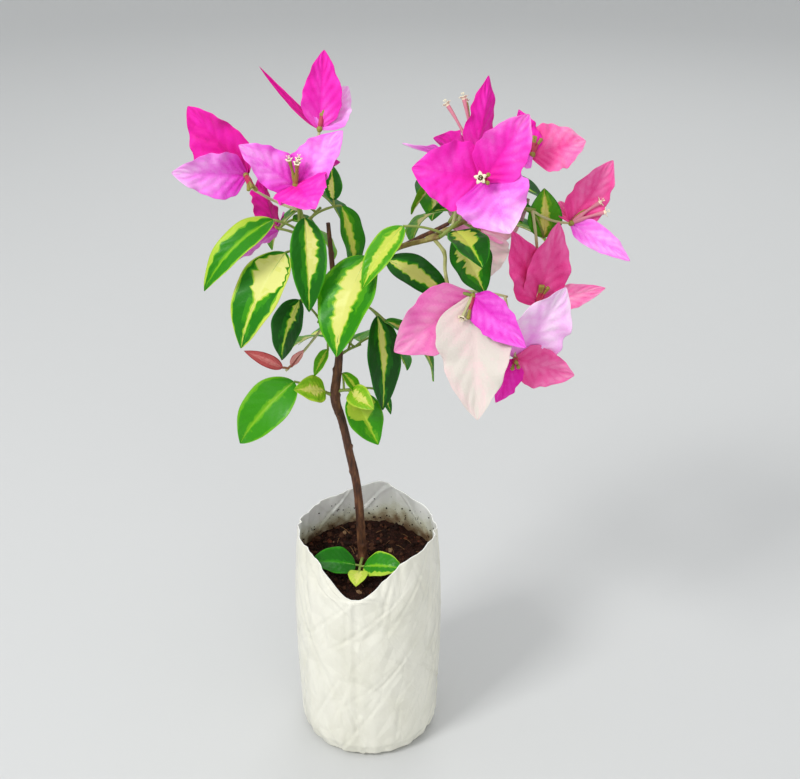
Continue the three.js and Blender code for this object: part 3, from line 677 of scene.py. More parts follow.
def leaf_zones(look, t, draw):
    """Lines of the colour borders of a leaf at each place t, and the tint of each face."""
    body, heart, between, rim, start, end, left, right, ragged, rim_left, rim_right = look
    bulge = np.sin(np.pi * np.clip((t - start) / (end - start), 0, 1) ** 0.8) ** 0.7
    lively = 1 if heart - body > 3 else 0.15
    halo = 0.3 * max(0, between - body) * (lively == 1)
    steps = [heart] * 3 + [(2 * heart + between) / 3, between] + [body] * 5 + [(body + rim) / 2, rim, rim]
    on_body = np.arange(len(steps)) > 4
    sides, tones = [], []
    for half, edge in ((right, rim_right), (left, rim_left)):
        phases = [next(draw) for _ in range(4)]
        jag = LEAF_VEINS * (t - 0.12 * half) + phases[0]
        ragged_line = 1 + ragged * (0.8 * wave(t, phases, (2.3, 4.1, 9.3, 15.9)) + 0.5 * (jag % 1) - 0.25)
        inner = np.clip(half * bulge * ragged_line, 0.03 * (1 - t) + 0.008, 0.84)
        outer = 1 - edge * (1 + 0.4 * wave(t, phases[::-1], (1.7, 3.9, 6.7, 9.1)))
        outer = np.clip(outer, inner + 0.1, 0.985)
        soft = 0.11 + 0.06 * wave(t, phases[1:] + phases[:1], (3.1, 5.9, 8.3, 12.7))
        soft = np.maximum(np.minimum(soft, (outer - inner) * 0.3), 0.012)
        lines = np.stack([
            0 * t, 0.012 + inner * 0.1, inner * 0.55, inner, inner + soft * 0.5, inner + soft,
            *(inner + (outer - inner) * share for share in (0.36, 0.5, 0.64, 0.78)),
            outer - soft * 0.6, outer, (1 + outer) / 2, 0 * t + 1,
        ], axis=-1)
        middle = (lines[:, 1:] + lines[:, :-1]) / 2
        run = along_veins(t[:, None], middle)
        patch = np.sin(12.9898 * np.floor(run) + 40 * phases[2]) * 43758.5453 % 1 - 0.5
        fleck = rough(60 * t[:, None], 22 * middle + 90 * phases[3], 3, 4, 8)
        green = lively * (0.2 * patch + 0.08 * fleck) + 0.5 * on_vein(run, 0.13) * (1 - middle)
        tone = np.array(steps) + np.where(on_body, green, 0.16 * fleck - 0.25 * patch)
        tone[:, 5] += halo * (patch[:, 5] > -0.1)
        tone[:, 6] += halo * (patch[:, 6] > 0.2)
        tone[:, 0] = np.maximum(tone[:, 0], body + 1.4)
        sides.append(lines)
        tones.append(tone)
    columns = np.concatenate([-sides[1][:, :0:-1], sides[0]], axis=1)
    tone = np.concatenate([tones[1][:, ::-1], tones[0]], axis=1)
    return columns, level_numbers(tone[1:] + tone[:-1], LEAF_LEVELS)


def leaf_relief(width, columns, t, phases):
    """Where a folded, gently waved blade with its veins in relief lies, and how thick it is."""
    rows, size = t[:, None], np.abs(columns)
    half = 0.5 * width * np.maximum(leaf_outline(rows), 0.012)
    fold = LEAF_FOLD * (np.sqrt(columns**2 + 0.02) - 0.14) * half
    ripple = np.sin(2 * np.pi * (2.6 * rows + np.where(columns > 0, phases[0], phases[1])))
    ripple = 0.05 * half * size**2 * ripple
    run = along_veins(rows, size)
    crest = on_vein(run, 0.17) * (1 - size**2) * np.minimum(1, 8 * size)
    groove = 0.22 * bell(size, 0.07) + 0.16 * crest
    groove = groove - 0.22 * np.sin(np.pi * run) ** 2 * (1 - size**4) * np.minimum(1, 5 * size)
    curl = -0.06 * width * smoothstep(rows, 0.72, 1) * np.sin(2 * np.pi * phases[2])
    thick = LEAF_THICKNESS * (0.25 + 0.75 * (1 - size**6))
    return columns * half, fold + ripple - groove + curl, thick


def add_leaf(leaves, twigs, start, row, look, draw):
    """A leaf on its arched stalk."""
    stalk_heading, stalk_rise, stalk_length, heading, rise, length, width, bend, roll = row
    stalk = rising_arc(start, stalk_heading, stalk_rise, stalk_length, STALK_ARCH)
    chord, up = direction(heading, rise), direction(heading, rise + 90)
    angle = -math.radians(roll)
    up = up * math.cos(angle) + np.cross(chord, up) * math.sin(angle)
    midrib = Arc(stalk.point(1), chord, up, length, bend)
    red = "red_" if look == "young" else ""
    places = np.linspace(0, 1, 7)
    radii = STALK_RADIUS * (1 + 0.25 * (1 - places) ** 4 + 0.1 * places**4)
    twigs.tube(round_rings(stalk, radii, 8, places), twigs.tint(f"{red}stalk"))
    places = np.linspace(0, 0.86, 14)
    rib = round_rings(midrib, STALK_RADIUS * 0.95 * (1 - places) ** 0.8, 6, places)
    rib -= midrib.normal(places)[:, None] * RIB_SINK
    twigs.tube(rib, twigs.tint(f"{red}rib"))
    t = 0.002 + 0.992 * eased(LEAF_ROWS)
    columns, tones = leaf_zones(LOOKS[look], t, draw)
    across, offset, thick = leaf_relief(width, columns, t, [next(draw) for _ in range(3)])
    tints = leaves.levels(f"{red}leaf", LEAF_LEVELS)
    under = tints[np.clip(tones + 2 + 2 * (tones < 8), 0, LEAF_LEVELS - 1)]
    add_sheet(leaves, midrib, t, across, offset, thick, tints[tones], under)


def add_bract(bracts, centre, face, row, draw):
    """A papery bract, cupped towards the bloom's facing, with veins raised and darker."""
    heading, rise, length, width, bend, family, base, middle, tip, edge = row
    chord = direction(heading, rise)
    midrib = Arc(centre, chord, unit(face - chord * (face @ chord)), length, bend)
    t = 0.004 + 0.99 * eased(BRACT_ROWS)
    even = np.linspace(-1, 1, BRACT_COLUMNS)
    u = 0.5 * np.sin(np.pi / 2 * even) + 0.5 * even
    rows, size = t[:, None], np.abs(u)
    phase = [next(draw) for _ in range(6)]
    half = 0.5 * width * (0.6 + 0.4 * smoothstep(rows, 0, 0.2)) * np.maximum(bract_outline(rows), 0.012)
    edges = [wave(rows, part, (1.2, 2.3, 3.9, 6.1)) for part in (phase[:4], phase[2:])]
    half = half * (1 - 0.055 * (1 + np.where(u > 0, *edges)))
    ripple = 0.13 * half * size**2 * (
        np.sin(2 * np.pi * (2.2 * rows + np.where(u > 0, phase[0], phase[1])))
        + 0.5 * np.sin(2 * np.pi * (4.7 * rows + np.where(u > 0, phase[2], phase[3])))
    ) * smoothstep(rows, 0.2, 0.55)
    run = BRACT_VEINS * (rows - BRACT_VEIN_SLANT * size**0.85)
    crest = on_vein(run, 0.14) * (1 - size**3) * np.minimum(1, 9 * size)
    rib = bell(size, 0.07) * (1 - rows) ** 0.4
    net = np.sin(11 * np.pi * (rows + 0.8 * size) + 6 * phase[4]) * np.sin(13 * np.pi * (rows - 0.9 * size))
    cushion = np.sin(np.pi * run) ** 2 * (1 - size**4) * np.minimum(1, 5 * size)
    cushion = cushion * smoothstep(rows, 0, 0.15) * smoothstep(1 - rows, 0, 0.2)
    relief = -0.32 * rib - 0.2 * crest + 0.34 * (cushion - 0.4) + 0.06 * net * (1 - size**4)
    cup = BRACT_CUP * half * (np.sqrt(u**2 + 0.03) - 0.17)
    cup = cup + 0.04 * width * rows**2 * math.cos(6 * phase[5])
    thick = BRACT_THICKNESS * (0.4 + 0.6 * (1 - size**6))
    tone = base + (middle - base) * smoothstep(rows, 0.05, 0.5) + (tip - middle) * smoothstep(rows, 0.5, 1)
    tone = tone + edge * size**2 + 0.5 * crest + 0.7 * rib + 0.05 * net
    tone = tone + 0.3 * np.sin(2 * np.pi * (1.3 * rows + 0.9 * u + phase[0]))
    tone = tone + 0.13 * rough(90 * rows, 40 * u + 100 * phase[1], 7, 13, 8)
    top = BRACT_LEVELS - 1
    tone = (tone[:-1, :-1] + tone[1:, 1:] + tone[1:, :-1] + tone[:-1, 1:]) / 4 * top / BRACT_TONES
    steps = level_numbers(tone, BRACT_LEVELS)
    tints = bracts.levels(family, BRACT_LEVELS)
    under = tints[np.minimum(steps + (family != "blush"), top)]
    add_sheet(bracts, midrib, t, u * half, cup + ripple + relief, thick, tints[steps], under)


def add_flower(blossom, centre, way, length, kind):
    """A thin ribbed tube that stands on a bract, ending in a star, or in a closed bud."""
    side = unit(np.cross(way, (0.2, 0.3, 0.93)))
    axis = Arc(centre, way, np.cross(side, way), length, 10)
    tube, limb, size = FLOWER_TONES[kind]
    tube, limb = blossom.tint(tube), blossom.tint(limb)
    angle = ring_angles(FLOWER_SIDES)
    t = np.array([0, 0.08, 0.2, 0.34, 0.48, 0.62, 0.76, 0.88, 0.95])
    radii = np.outer([0.6, 0.95, 1.1, 1, 0.7, 0.65, 0.8, 0.95, 1], 1 + 0.06 * np.cos(5 * angle))
    if not size:
        t = np.append(t, (0.985, 1.0))
        radii = np.vstack([radii, 0.7 + 0 * angle, 0.25 + 0 * angle])
        blossom.tube(round_rings(axis, radii, FLOWER_SIDES, t), np.where(t[:-1, None] > 0.6, limb, tube))
        return
    across, upward = frames(axis.tangent(np.array([1.0])))
    out = np.cos(angle)[:, None] * across + np.sin(angle)[:, None] * upward
    tip = axis.point(np.array([1.0]))
    lobes = size * (2.5 + 0.75 * np.cos(5 * angle))
    outer = tip + out * lobes[:, None] + way * (0.25 * np.cos(5 * angle))[:, None]
    bend = tip + out * 1.5 * size - way * 0.05
    inner = [tip + out * r + way * d for r, d in ((1.3 * size, 0.2), (0.7 * size, -0.4), (0.4 * size, -1.6))]
    rings = [*round_rings(axis, radii, FLOWER_SIDES, t), bend, outer, outer + way * 0.22, *inner]
    # The last rings, which lead down into the tube, take the throat's dark colour as painted shade in the
    # hole.
    tints = [tube] * 8 + [limb] * 4 + [blossom.tint("throat")] * 2
    blossom.tube(np.array(rings), np.array(tints)[:, None])
    for turn in range(3):
        lean = unit(way + 0.2 * (math.cos(2.1 * turn) * across[0] + math.sin(2.1 * turn) * upward[0]))
        thread = Arc(tip[0] - way * 1.4, lean, np.cross(side, lean), 3.6, 8)
        places = np.array([0, 0.4, 0.78, 0.88, 1])
        blossom.tube(round_rings(thread, [0.12, 0.1, 0.09, 0.26, 0.2], 6, places), limb)


def add_bloom(bracts, blossom, centre, row, draw):
    """Three bracts round a small heart, with a flower on each."""
    _, heading, rise, flower_heading, flower_rise, kinds, length, parts = row
    face = direction(heading, rise)
    way = direction(flower_heading, flower_rise)
    core = Arc(centre - way * 1.6, way, np.cross(way, unit(np.cross(way, (0.1, 0.2, 0.97)))), 3.4, 2)
    heart = round_rings(core, [0.6, 1.3, 1.5, 1.2, 0.5], 12, np.linspace(0, 1, 5))
    blossom.tube(heart, blossom.tint("tube_olive"))
    for k, part in enumerate(parts):
        add_bract(bracts, centre + face * BRACT_STACK * (k - 2), face, part, draw)
    for kind, part in zip(kinds, parts):
        lean = unit(way + direction(part[0], part[1]) * math.tan(math.radians(FLOWER_SPREAD)))
        add_flower(blossom, centre, lean, length, kind)


ROUTES = {name: Route(limb[0]) for name, limb in LIMBS.items()}
SAMPLES = np.concatenate([r.point(np.linspace(0, 1, LIMB_SAMPLES + 1)) for r in ROUTES.values()])


def fits(start, row, low, high, middles):
    """Whether a seeded leaf stays in its mass's box, off the limbs and off earlier leaves."""
    stalk_heading, stalk_rise, stalk_length, heading, rise, length, width = row[:7]
    base = start + direction(stalk_heading, stalk_rise) * stalk_length
    chord, across = direction(heading, rise), direction(heading - 90, 0)
    middle = base + chord * (length * 0.45)
    aside = across * width / 2
    points = np.array([middle, base + chord * length, middle - aside, middle + aside])
    inside = np.all(points > low) and np.all(points < high)
    gaps = np.linalg.norm(points[:, None] - SAMPLES[None], axis=-1)
    apart = all(np.linalg.norm(middle - m) > LEAF_CLEARANCE for m in middles)
    if inside and gaps.min() > LIMB_CLEARANCE and apart:
        middles.append(middle)
        return True
    return False


def seeded_leaves(count, seed, low, high, twigs):
    """Rows of seeded leaves that spiral round the twigs of a mass."""
    draw = draws_from(seed)
    names, rows, middles = list(twigs), [], []
    for attempt in range(count * 12):
        if len(rows) == count:
            break
        name = names[attempt % len(names)]
        along = 0.4 + 0.6 * next(draw)
        heading = attempt * GOLDEN_ANGLE + 30 * next(draw)
        length = 36 + 14 * next(draw)
        row = (
            heading, 15 + 25 * next(draw), 7 + 5 * next(draw),
            heading + 30 * next(draw) - 15, -10 - 45 * next(draw), length,
            length * (0.5 + 0.12 * next(draw)), 35 + 30 * next(draw), 30 * next(draw) - 15,
        )
        if fits(root_on(twigs[name], along), row, low, high, middles):
            rows.append((name, along, *row, SEEDED_LOOKS[len(rows) % len(SEEDED_LOOKS)]))
    return rows


def grow_mass(name, twigs, leaves, bracts, blossom):
    """Twigs, leaves and blooms of one mass, by the same rule as its solid."""
    draw = draws_from(sum(map(ord, name)))
    curves = {}
    for twig, parent, along, heading, rise, length, bend, radius in TWIGS[name]:
        if parent in ROUTES:
            start = ROUTES[parent].point(along / ROUTES[parent].spans)
        else:
            start = root_on(curves[parent], along)
        curves[twig] = rising_arc(start, heading, rise, length, bend)
        places = np.linspace(0, 1, max(6, round(length / 2)))
        radii = radius * (1 - (1 - TWIG_TAPER) * places) * (1 + 0.08 * np.sin(places * length * 0.9))
        tone = "pale_stalk" if "stalk" in twig else "stalk"
        twigs.tube(round_rings(curves[twig], radii, 10, places), twigs.tint(tone))
    rows = list(LEAVES.get(name, []))
    if name in SEEDED:
        rows += seeded_leaves(*SEEDED[name], curves)
    for twig, along, *row, look in rows:
        add_leaf(leaves, twigs, root_on(curves[twig], along), row, look, draw)
    for row in BLOOMS.get(name, []):
        add_bloom(bracts, blossom, curves[row[0]].point(1), row, draw)


def bark_mesh(name, materials):
    """A limb with the relief of its bark: shallow furrows, pores and leaf scars."""
    radii, tone = LIMBS[name][1:]
    route = ROUTES[name]
    length = float(np.linalg.norm(np.diff(route.point(np.linspace(0, 1, 80)), axis=0), axis=1).sum())
    t = np.linspace(0, 1, max(24, int(length / 0.7)))
    sides = 36 if name == "main_stem" else 24
    angle = ring_angles(sides)[None]
    radius = np.interp(t * (len(radii) - 1), range(len(radii)), radii)[:, None]
    run = (t * length)[:, None]
    furrow = np.sin(5 * angle + 0.11 * run + 1.3 * np.sin(0.09 * run)) + 0.6 * np.sin(9 * angle - 0.17 * run)
    fine = np.sin(13 * angle + 0.9 * np.sin(0.4 * run)) * np.sin(0.8 * run + 3 * angle)
    relief = 0.045 * furrow + 0.03 * fine
    for k, place in enumerate(np.arange(9, length - 4, SCAR_STEP)):
        near = bell(run - place, 1.4)
        facing = np.exp(-((1 - np.cos(angle - math.radians(k * GOLDEN_ANGLE))) / 0.22))
        relief = relief + 0.05 * near + 0.3 * near * facing
        relief = relief - 0.16 * bell(run - place - 1.1, 0.5) * facing
    shrink = 0.9 if tone == "bark" else 0.94
    rings = round_rings(route, radius * (shrink + relief * min(1, 1.8 / radius.mean())), sides, t)
    batch = Batch()
    batch.tube(rings, batch.tint(tone))
    obj = batch.mesh(f"bark_{name}", materials)
    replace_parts(obj, name)


def turned(angle):
    """An angle brought between -180 and 180 degrees."""
    return (angle + 180) % 360 - 180


def off_creases(angle):
    """Degrees to the nearer of the two creases that the bag was folded along."""
    return np.minimum(np.abs(turned(angle - FRONT_CREASE)), np.abs(turned(angle - BACK_CREASE)))


def rim_height(angle):
    back = np.maximum(0, 1 - np.abs(turned(angle - BACK_CREASE)) / BACK_PEAK_WIDTH) ** 1.1
    front = bell(turned(angle - FRONT_CREASE), FRONT_DROOP_WIDTH)
    return BAG_MOUTH_HEIGHT + BACK_PEAK * back - FRONT_DROOP * front


def in_bag(angle, radius, height):
    """Where a point of the round bag goes in the creased one."""
    share = np.maximum(0, 1 - off_creases(angle) / CREASE_WIDTH) ** 1.5
    wide = 1 + CREASE_PEAK * smoothstep(height, BAG_BELLY_HEIGHT, BAG_MOUTH_HEIGHT) * share
    stretch = (rim_height(angle) - SOIL_HEIGHT) / (BAG_MOUTH_HEIGHT - SOIL_HEIGHT)
    high = np.where(height > SOIL_HEIGHT, SOIL_HEIGHT + (height - SOIL_HEIGHT) * stretch, height)
    turn = np.radians(angle)
    return np.stack([radius * wide * np.cos(turn), radius * wide * np.sin(turn), high], axis=-1)


def bag_profile():
    """The outer wall of the bag as smooth radii at heights."""
    heights = [
        0, BAG_HEEL_HEIGHT, BAG_FOOT_HEIGHT, BAG_WAIST_HEIGHT, BAG_BELLY_HEIGHT, SOIL_HEIGHT,
        BAG_NECK_HEIGHT, BAG_MOUTH_HEIGHT,
    ]
    radii = [
        BAG_BASE_RADIUS, BAG_HEEL_RADIUS, BAG_FOOT_RADIUS, BAG_BELLY_RADIUS - 0.5,
        BAG_BELLY_RADIUS, BAG_BELLY_RADIUS - 1, BAG_MOUTH_RADIUS + 0.9, BAG_MOUTH_RADIUS,
    ]
    parts = ((0, 12, 20), (13, 100, 60), (101, BAG_MOUTH_HEIGHT, 48))
    z = np.concatenate([np.linspace(low, high, count) for low, high, count in parts])
    return z, np.interp(z, heights, radii)


def film_folds():
    """The soft dents and the sharp creases of the film, each with its place and shape."""
    draw = draws_from(61)
    dents = [
        (
            360 * next(draw) - 180, 14 + 112 * next(draw), 5 + 14 * next(draw), 6 + 24 * next(draw),
            1.8 * next(draw) - 0.9, 0.2 + 0.6 * next(draw),
        )
        for _ in range(FILM_DENTS)
    ]
    creases = [
        (
            360 * next(draw) - 180, 6 + 122 * next(draw), 8 + 26 * next(draw), 3.4 * next(draw) - 1.7,
            0.3 + 0.7 * next(draw) ** 2,
        )
        for _ in range(FILM_CREASES)
    ]
    return dents, creases


DENTS, CREASES = film_folds()


def film_depth(angle, high):
    """How far the film lies inside the smooth tube at an angle and a height."""
    turn = np.radians(angle)
    depth = 0 * (angle + high)
    for centre, level, wide, tall, lean, deep in DENTS:
        off = turned(angle - centre - lean * (high - level))
        depth += deep * bell(off, wide) * bell(high - level, tall)
    for centre, level, long, lean, deep in CREASES:
        off = turned(angle - centre - lean * (high - level)) / 1.7
        depth += deep * (bell(off, 1) - 0.7 * bell(off - 1.6, 1)) * bell(high - level, long)
    gathers = 0.5 + 0.5 * np.sin(23 * turn + 1.2 * np.sin(4 * turn) + 0.05 * high)
    depth += 0.9 * gathers * bell(high - 5, 6)
    folds = 0.5 + 0.5 * np.sin(8 * turn + 2 * np.sin(3 * turn) + 0.03 * high)
    pleats = (0.5 + 0.5 * np.sin(15 * turn + 1.7 * np.sin(5 * turn) - 0.02 * high)) ** 4
    depth += (0.8 * folds + 0.9 * pleats) * smoothstep(high, 100, 132)
    for side in (-4, 176):
        off = np.abs(turned(angle - (side + 4 * np.sin(0.03 * high))))
        depth += 1.1 * bell(off, 2.2) - 0.5 * bell(off - 4, 2)
    off = off_creases(angle)
    depth += 0.7 * bell(off, 3) - 0.35 * bell(off - 5, 3)
    ripple = 0.1 * (np.sin(31 * turn + 0.21 * high) * np.sin(0.33 * high + 5 * turn) + 1)
    return FILM_DEPTH * np.tanh(np.maximum(depth, 0) / FILM_DEPTH) + ripple


def film_stains(angle, high):
    """How stained by the soil the film is inside, from 0 to 1, with a ragged border."""
    turn = np.radians(angle)
    clean = SOIL_HEIGHT + 19 + 5 * np.sin(2 * turn + 1) + 3 * np.sin(7 * turn)
    stain = 1 - smoothstep(high, SOIL_HEIGHT - 4, clean)
    return stain**0.8 + 0.09 * rough(2.2 * angle, 2.6 * high, 31, 26, 9) * (0.3 + stain)


def build_bag(materials):
    """The soft film: outer wall with folds and dents, a thin wavy rim, and the inner wall."""
    z, radius = bag_profile()
    angle = np.linspace(-180, 180, BAG_SIDES, endpoint=False)[None]
    turn, high = np.radians(angle), z[:, None]
    wall = radius[:, None] - film_depth(angle, high)
    outer = in_bag(angle, wall, high)
    buried = 0.8 * smoothstep(SOIL_HEIGHT - high, 2, 12)
    inner = in_bag(angle, wall - FILM_THICKNESS - buried, np.maximum(high, 1))
    droop = 0.8 + 0.5 * np.sin(5 * turn + 1) + 0.3 * np.sin(13 * turn + 2 * np.sin(2 * turn))
    droop = droop * (1 - 0.85 * np.exp(-np.abs(turned(angle - BACK_CREASE)) / 7))
    droop = droop * smoothstep(high, 114, 133)
    outer[..., 2] -= droop
    inner[..., 2] -= droop
    flat = [in_bag(angle, np.full_like(angle, r), np.zeros_like(angle)) for r in (0.5, 12, 24, 31)]
    floor = [in_bag(angle, np.full_like(angle, r), np.ones_like(angle)) for r in (31, 12, 0.5)]
    rings = np.concatenate([*flat, outer, inner[::-1], *floor])
    batch = Batch()
    tints = np.full((len(rings) - 1, BAG_SIDES), batch.tint("film"))
    levels = batch.levels("film_inside", FILM_LEVELS)
    steps = level_numbers(film_stains(angle, high) * (FILM_LEVELS - 1), FILM_LEVELS)
    rim = len(flat) + len(z)
    tints[rim:] = levels[-1]
    tints[rim - 1:rim + len(z) - 1] = levels[steps[::-1]]
    batch.tube(rings, tints)
    bag = batch.mesh("bag_film", materials)
    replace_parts(bag, "grow_bag")


def soil_top(x, y):
    """Height of the soil: the clods of the solid, with lumps and grains on them."""
    away = smoothstep(np.hypot(x, y), SOIL_LEVEL_RADIUS, SOIL_LEVEL_RADIUS + 8)
    waves = np.sin(0.55 * x + 1.3) * np.cos(0.47 * y) + 0.6 * np.sin(0.9 * y - 0.5 * x)
    lumps = 0.45 * rough(x, y, 5, 9) + 0.28 * rough(x, y, 11, 4) + 0.16 * rough(x, y, 17, 1.9)
    return SOIL_HEIGHT + away * CLOD_HEIGHT * waves * 0.4 + lumps * (0.35 + 0.5 * away) - 0.3


def off_stem(x, y):
    return math.hypot(x - STEM_X, y - STEM_Y)


def add_crumb(batch, place, size, tone, draw):
    """An angular crumb of soil round a place."""
    angle, rise = ring_angles(7), np.linspace(-1, 1, 5)
    stretch = np.array([0.75 + 0.5 * next(draw) for _ in range(3)])
    reach = size * np.array([[0.72 + 0.5 * next(draw) for _ in angle] for _ in rise])
    flat = np.sqrt(np.maximum(0.03, 1 - rise**2))[:, None]
    rings = np.stack([flat * np.cos(angle), flat * np.sin(angle), rise[:, None] + 0 * angle], axis=-1)
    batch.tube(np.asarray(place) + rings * reach[..., None] * stretch, batch.tint(tone))


def build_soil(materials):
    """Soil that fills the bag, as far as its film."""
    angle = np.linspace(-180, 180, SOIL_SIDES, endpoint=False)[None]
    edge = BAG_BELLY_RADIUS - 1 - FILM_THICKNESS - 0.1 - film_depth(angle, SOIL_HEIGHT)
    shares = np.linspace(0.01, 1, 90)[:, None]
    top = in_bag(angle, edge * shares, np.full_like(angle, SOIL_HEIGHT) + 0 * shares)
    top[..., 2] = soil_top(top[..., 0], top[..., 1])
    top[-1, :, 2] -= 0.8
    z, radius = bag_profile()
    keep = (z > 2) & (z < SOIL_HEIGHT - 3)
    wall = in_bag(angle, radius[keep][::12, None] - SOIL_INSET, z[keep][::12, None])[::-1]
    batch = Batch()
    batch.tube(np.concatenate([top, wall]), batch.tint("soil"))
    soil = batch.mesh("soil_mass", materials)
    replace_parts(soil, "soil")


def build_crumbs(materials):
    """Crumbs and chips on the soil, specks on the film above it, and fibres."""
    crumbs = Batch()
    draw = draws_from(99)
    for _ in range(CRUMBS):
        spread, turn = CRUMB_REACH * math.sqrt(next(draw)), 2 * math.pi * next(draw)
        x, y = spread * math.cos(turn), spread * math.sin(turn)
        big = next(draw) ** 3.6
        if x < 4 and y > 0:
            big = min(1, big * 1.4 + 0.06)
        size = 0.3 + 1.35 * big
        pick, lift = next(draw), 0.1 + 0.3 * next(draw)
        tone = next(name for name, share in CRUMB_SHARES.items() if pick <= share)
        room = BAG_BELLY_RADIUS - 1.6 - FILM_THICKNESS - film_depth(math.degrees(turn), SOIL_HEIGHT)
        if off_stem(x, y) > 3.4 + size and spread + size < room:
            add_crumb(crumbs, (x, y, float(soil_top(x, y)) + size * lift), size, tone, draw)
    for _ in range(WALL_SPECKS):
        turn, level = np.array([220 * next(draw) - 20]), SOIL_HEIGHT + 1 + 17 * next(draw) ** 1.6
        size = 0.15 + 0.36 * next(draw) ** 2
        wall = np.interp(level, *bag_profile()) - film_depth(turn, level) - FILM_THICKNESS - 0.5 * size
        add_crumb(crumbs, in_bag(turn, wall, np.array([level]))[0], size, "crumb_dark", draw)
    for _ in range(FIBRES):
        x, y = 30 * (2 * next(draw) - 1), 30 * (2 * next(draw) - 1)
        if math.hypot(x, y) > 34 or off_stem(x, y) < 6:
            continue
        start = np.array((x, y, float(soil_top(x, y)) + 0.7))
        way = direction(360 * next(draw), 4)
        strand = Arc(start, way, np.array((0, 0, 1.0)), 4 + 6 * next(draw), 60 * next(draw) + 5)
        rings = round_rings(strand, [0.18, 0.16, 0.12, 0.08], 5, np.linspace(0, 1, 4))
        crumbs.tube(rings, crumbs.tint("fibre"))
    obj = crumbs.mesh("soil_crumbs", materials, smooth=False)


def linear(colour):
    """A screen colour as the shader's linear colour."""
    return tuple((c / 255 / 12.92) if c <= 10 else ((c / 255 + 0.055) / 1.055) ** 2.4 for c in colour)


def blended(colours, place):
    """The colour at a place along a list of colours."""
    return [float(np.interp(place, range(len(colours)), [c[i] for c in colours])) for i in range(3)]


def set_inputs(node, values):
    """Sets a node's inputs, whose names have an underscore here for each space."""
    for name, value in values.items():
        node.inputs[name.replace("_", " ")].default_value = value


def add_node(tree, kind, **values):
    node = tree.nodes.new(f"ShaderNode{kind}")
    set_inputs(node, values)
    return node


def add_relief(tree, height, strength, distance, below=None):
    """The normal of a relief with a height, over the normal of another relief."""
    relief = add_node(tree, "Bump", Strength=strength, Distance=distance)
    tree.links.new(height, relief.inputs["Height"])
    if below:
        tree.links.new(below, relief.inputs["Normal"])
    return relief.outputs["Normal"]


def new_surface(name, colour, roughness, **sockets):
    """A new material of one colour, its node tree and its shader."""
    made = bpy.data.materials.new(name)
    made.use_nodes = True
    shader = made.node_tree.nodes["Principled BSDF"]
    set_inputs(shader, {"Base_Color": (*linear(colour), 1), "Roughness": roughness, **sockets})
    return made, made.node_tree, shader


def material(name, colour, roughness, bump=0.0, grain=600.0, **sockets):
    """A plain coloured surface with a fine uneven relief."""
    made, tree, shader = new_surface(name, colour, roughness, **sockets)
    if bump:
        noise = add_node(tree, "TexNoise", Scale=grain, Detail=4)
        tree.links.new(add_node(tree, "TexCoord").outputs["Object"], noise.inputs["Vector"])
        tree.links.new(add_relief(tree, noise.outputs["Fac"], bump, 0.0006), shader.inputs["Normal"])
    return made


def mottled(
    name, stops, roughness, grain, stretch=(1, 1, 1), bump=0.4, distance=0.0008, facets=(), **sockets
):
    """A surface whose colour runs through stops with an uneven noise, and its relief.

    Facets are the scales of the flat cells that a crumpled sheet shows, one relief over another.
    """
    made, tree, shader = new_surface(name, stops[0][1], roughness, **sockets)
    link = tree.links.new
    shape = add_node(tree, "Mapping", Scale=stretch)
    noise = add_node(tree, "TexNoise", Scale=grain, Detail=8, Roughness=0.62)
    ramp = add_node(tree, "ValToRGB")
    points = ramp.color_ramp.elements
    while len(points) < len(stops):
        points.new(0.5)
    for element, (position, colour) in zip(points, stops):
        element.position = position
        element.color = (*linear(colour), 1)
    link(add_node(tree, "TexCoord").outputs["Object"], shape.inputs["Vector"])
    link(shape.outputs["Vector"], noise.inputs["Vector"])
    link(noise.outputs["Fac"], ramp.inputs["Fac"])
    link(ramp.outputs["Color"], shader.inputs["Base Color"])
    relief = add_relief(tree, noise.outputs["Fac"], bump, distance)
    for scale in facets:
        cells = add_node(tree, "TexVoronoi", Scale=scale)
        cells.feature = "DISTANCE_TO_EDGE"
        link(shape.outputs["Vector"], cells.inputs["Vector"])
        relief = add_relief(tree, cells.outputs["Distance"], 0.9, 0.12 / scale, relief)
    link(relief, shader.inputs["Normal"])
    return made


def make_materials():
    """Every surface of the plant and its bag by name."""
    made = {}

    def add(make, name, *values, **sockets):
        made[name] = make(name, *values, **sockets)

    for name, colour in COLOURS.items():
        add(material, name, colour, 0.5, 0.25, 900)
    for k in range(LEAF_LEVELS):
        add(
            material, f"leaf_{k}", blended(LEAF_TINTS, k / 2), 0.42 + 0.006 * k, 0.25, 900,
            Specular_IOR_Level=0.22, Coat_Weight=0.08, Coat_Roughness=0.16)
        red = blended(RED_TINTS, k / 2)
        add(material, f"red_leaf_{k}", red, 0.42, 0.25, 900, Specular_IOR_Level=0.28)
    for family, ramp in RAMPS.items():
        for k in range(BRACT_LEVELS):
            colour = blended(ramp, k * BRACT_TONES / (BRACT_LEVELS - 1))
            add(material, f"{family}_{k}", colour, 0.6, 0.35, 1100, Specular_IOR_Level=0.25, Sheen_Weight=0.1)
    for name, values in BARKS.items():
        add(mottled, name, *values)
    add(
        mottled, "film", [(0.2, (229, 227, 209)), (0.6, (243, 241, 227))], 0.3, 60, (1, 1, 0.6), 0.16,
        0.002, facets=(34, 90), Coat_Weight=0.35, Coat_Roughness=0.1)
    for k in range(FILM_LEVELS):
        colour = blended(FILM_STAINS, k / (FILM_LEVELS - 1) * (len(FILM_STAINS) - 1))
        add(material, f"film_inside_{k}", colour, 0.4, 0.3, 300)
    add(
        mottled, "soil", [(0.3, (24, 14, 12)), (0.55, (50, 28, 22)), (0.78, (84, 50, 36))], 0.95, 900,
        bump=1.0, Specular_IOR_Level=0.12)
    for name, colour in BIT_COLOURS.items():
        add(material, name, colour, 0.92, 0.8, 1600, Specular_IOR_Level=0.15)
    return made


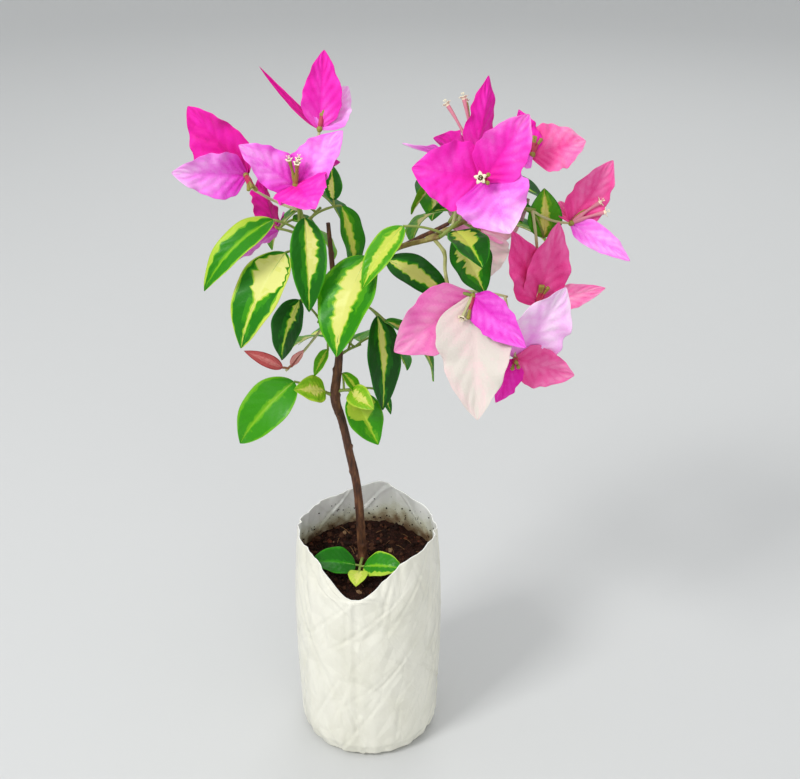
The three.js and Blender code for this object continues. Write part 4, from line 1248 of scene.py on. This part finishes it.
def build_stage():
    """A plain pale floor that curves up behind, soft lights, and the camera."""
    bend = np.linspace(0, 1, 24) * np.pi / 2
    reach = np.concatenate([[0.01, 0.6, 1.4], 2.2 + 1.8 * np.sin(bend)])[:, None]
    height = np.concatenate([[0, 0, 0], 2.4 * (1 - np.cos(bend))])[:, None] - 0.0002
    turn = ring_angles(64)
    rings = np.stack([reach * np.cos(turn), reach * np.sin(turn), height + 0 * turn], axis=-1)
    index = np.arange(rings.size // 3).reshape(rings.shape[:2])
    faces = [index[0].tolist()] + faces_between(index)[:, ::-1].tolist()
    floor = mesh_object("stage_floor", rings.reshape(-1, 3), faces)
    floor.data.materials.append(material("floor", (206, 207, 206), 0.9))
    world = bpy.data.worlds.new("soft_sky")
    world.use_nodes = True
    set_inputs(world.node_tree.nodes["Background"], {"Color": SKY_COLOUR, "Strength": SKY_STRENGTH})
    bpy.context.scene.world = world
    for name, (place, power, size) in LIGHTS.items():
        lamp = add_object(name, bpy.data.lights.new(name, "AREA"))
        lamp.data.energy, lamp.data.size = power, size
        lamp.location = place
        lamp.rotation_euler = (Vector(LIGHT_TARGET) - Vector(place)).to_track_quat("-Z", "Y").to_euler()
    camera = add_object("camera", bpy.data.cameras.new("camera"))
    camera.data.lens = CAMERA_LENS
    camera.location = CAMERA_PLACE
    camera.rotation_euler = (math.radians(90 - CAMERA_DIP), 0, 0)
    bpy.context.scene.camera = camera


def build_mass(name, materials):
    """The pieces of one mass, the first of which stands for its node."""
    batches = [Batch() for _ in range(4)]
    grow_mass(name, *batches)
    first = None
    kinds = (("twigs", "green_bark"), ("leaves", "leaf"), ("bracts", "bract"), ("flowers", "bract"))
    for batch, (kind, slot) in zip(batches, kinds):
        if batch.count:
            obj = batch.mesh(f"{name}_{kind}", materials)
            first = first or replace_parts(obj, name)


def main():
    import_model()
    bpy.context.scene.view_settings.view_transform = "Standard"
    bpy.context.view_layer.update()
    materials = make_materials()
    build_stage()
    build_bag(materials)
    build_soil(materials)
    build_crumbs(materials)
    for name in LIMBS:
        bark_mesh(name, materials)
    for name in TWIGS:
        build_mass(name, materials)


main()
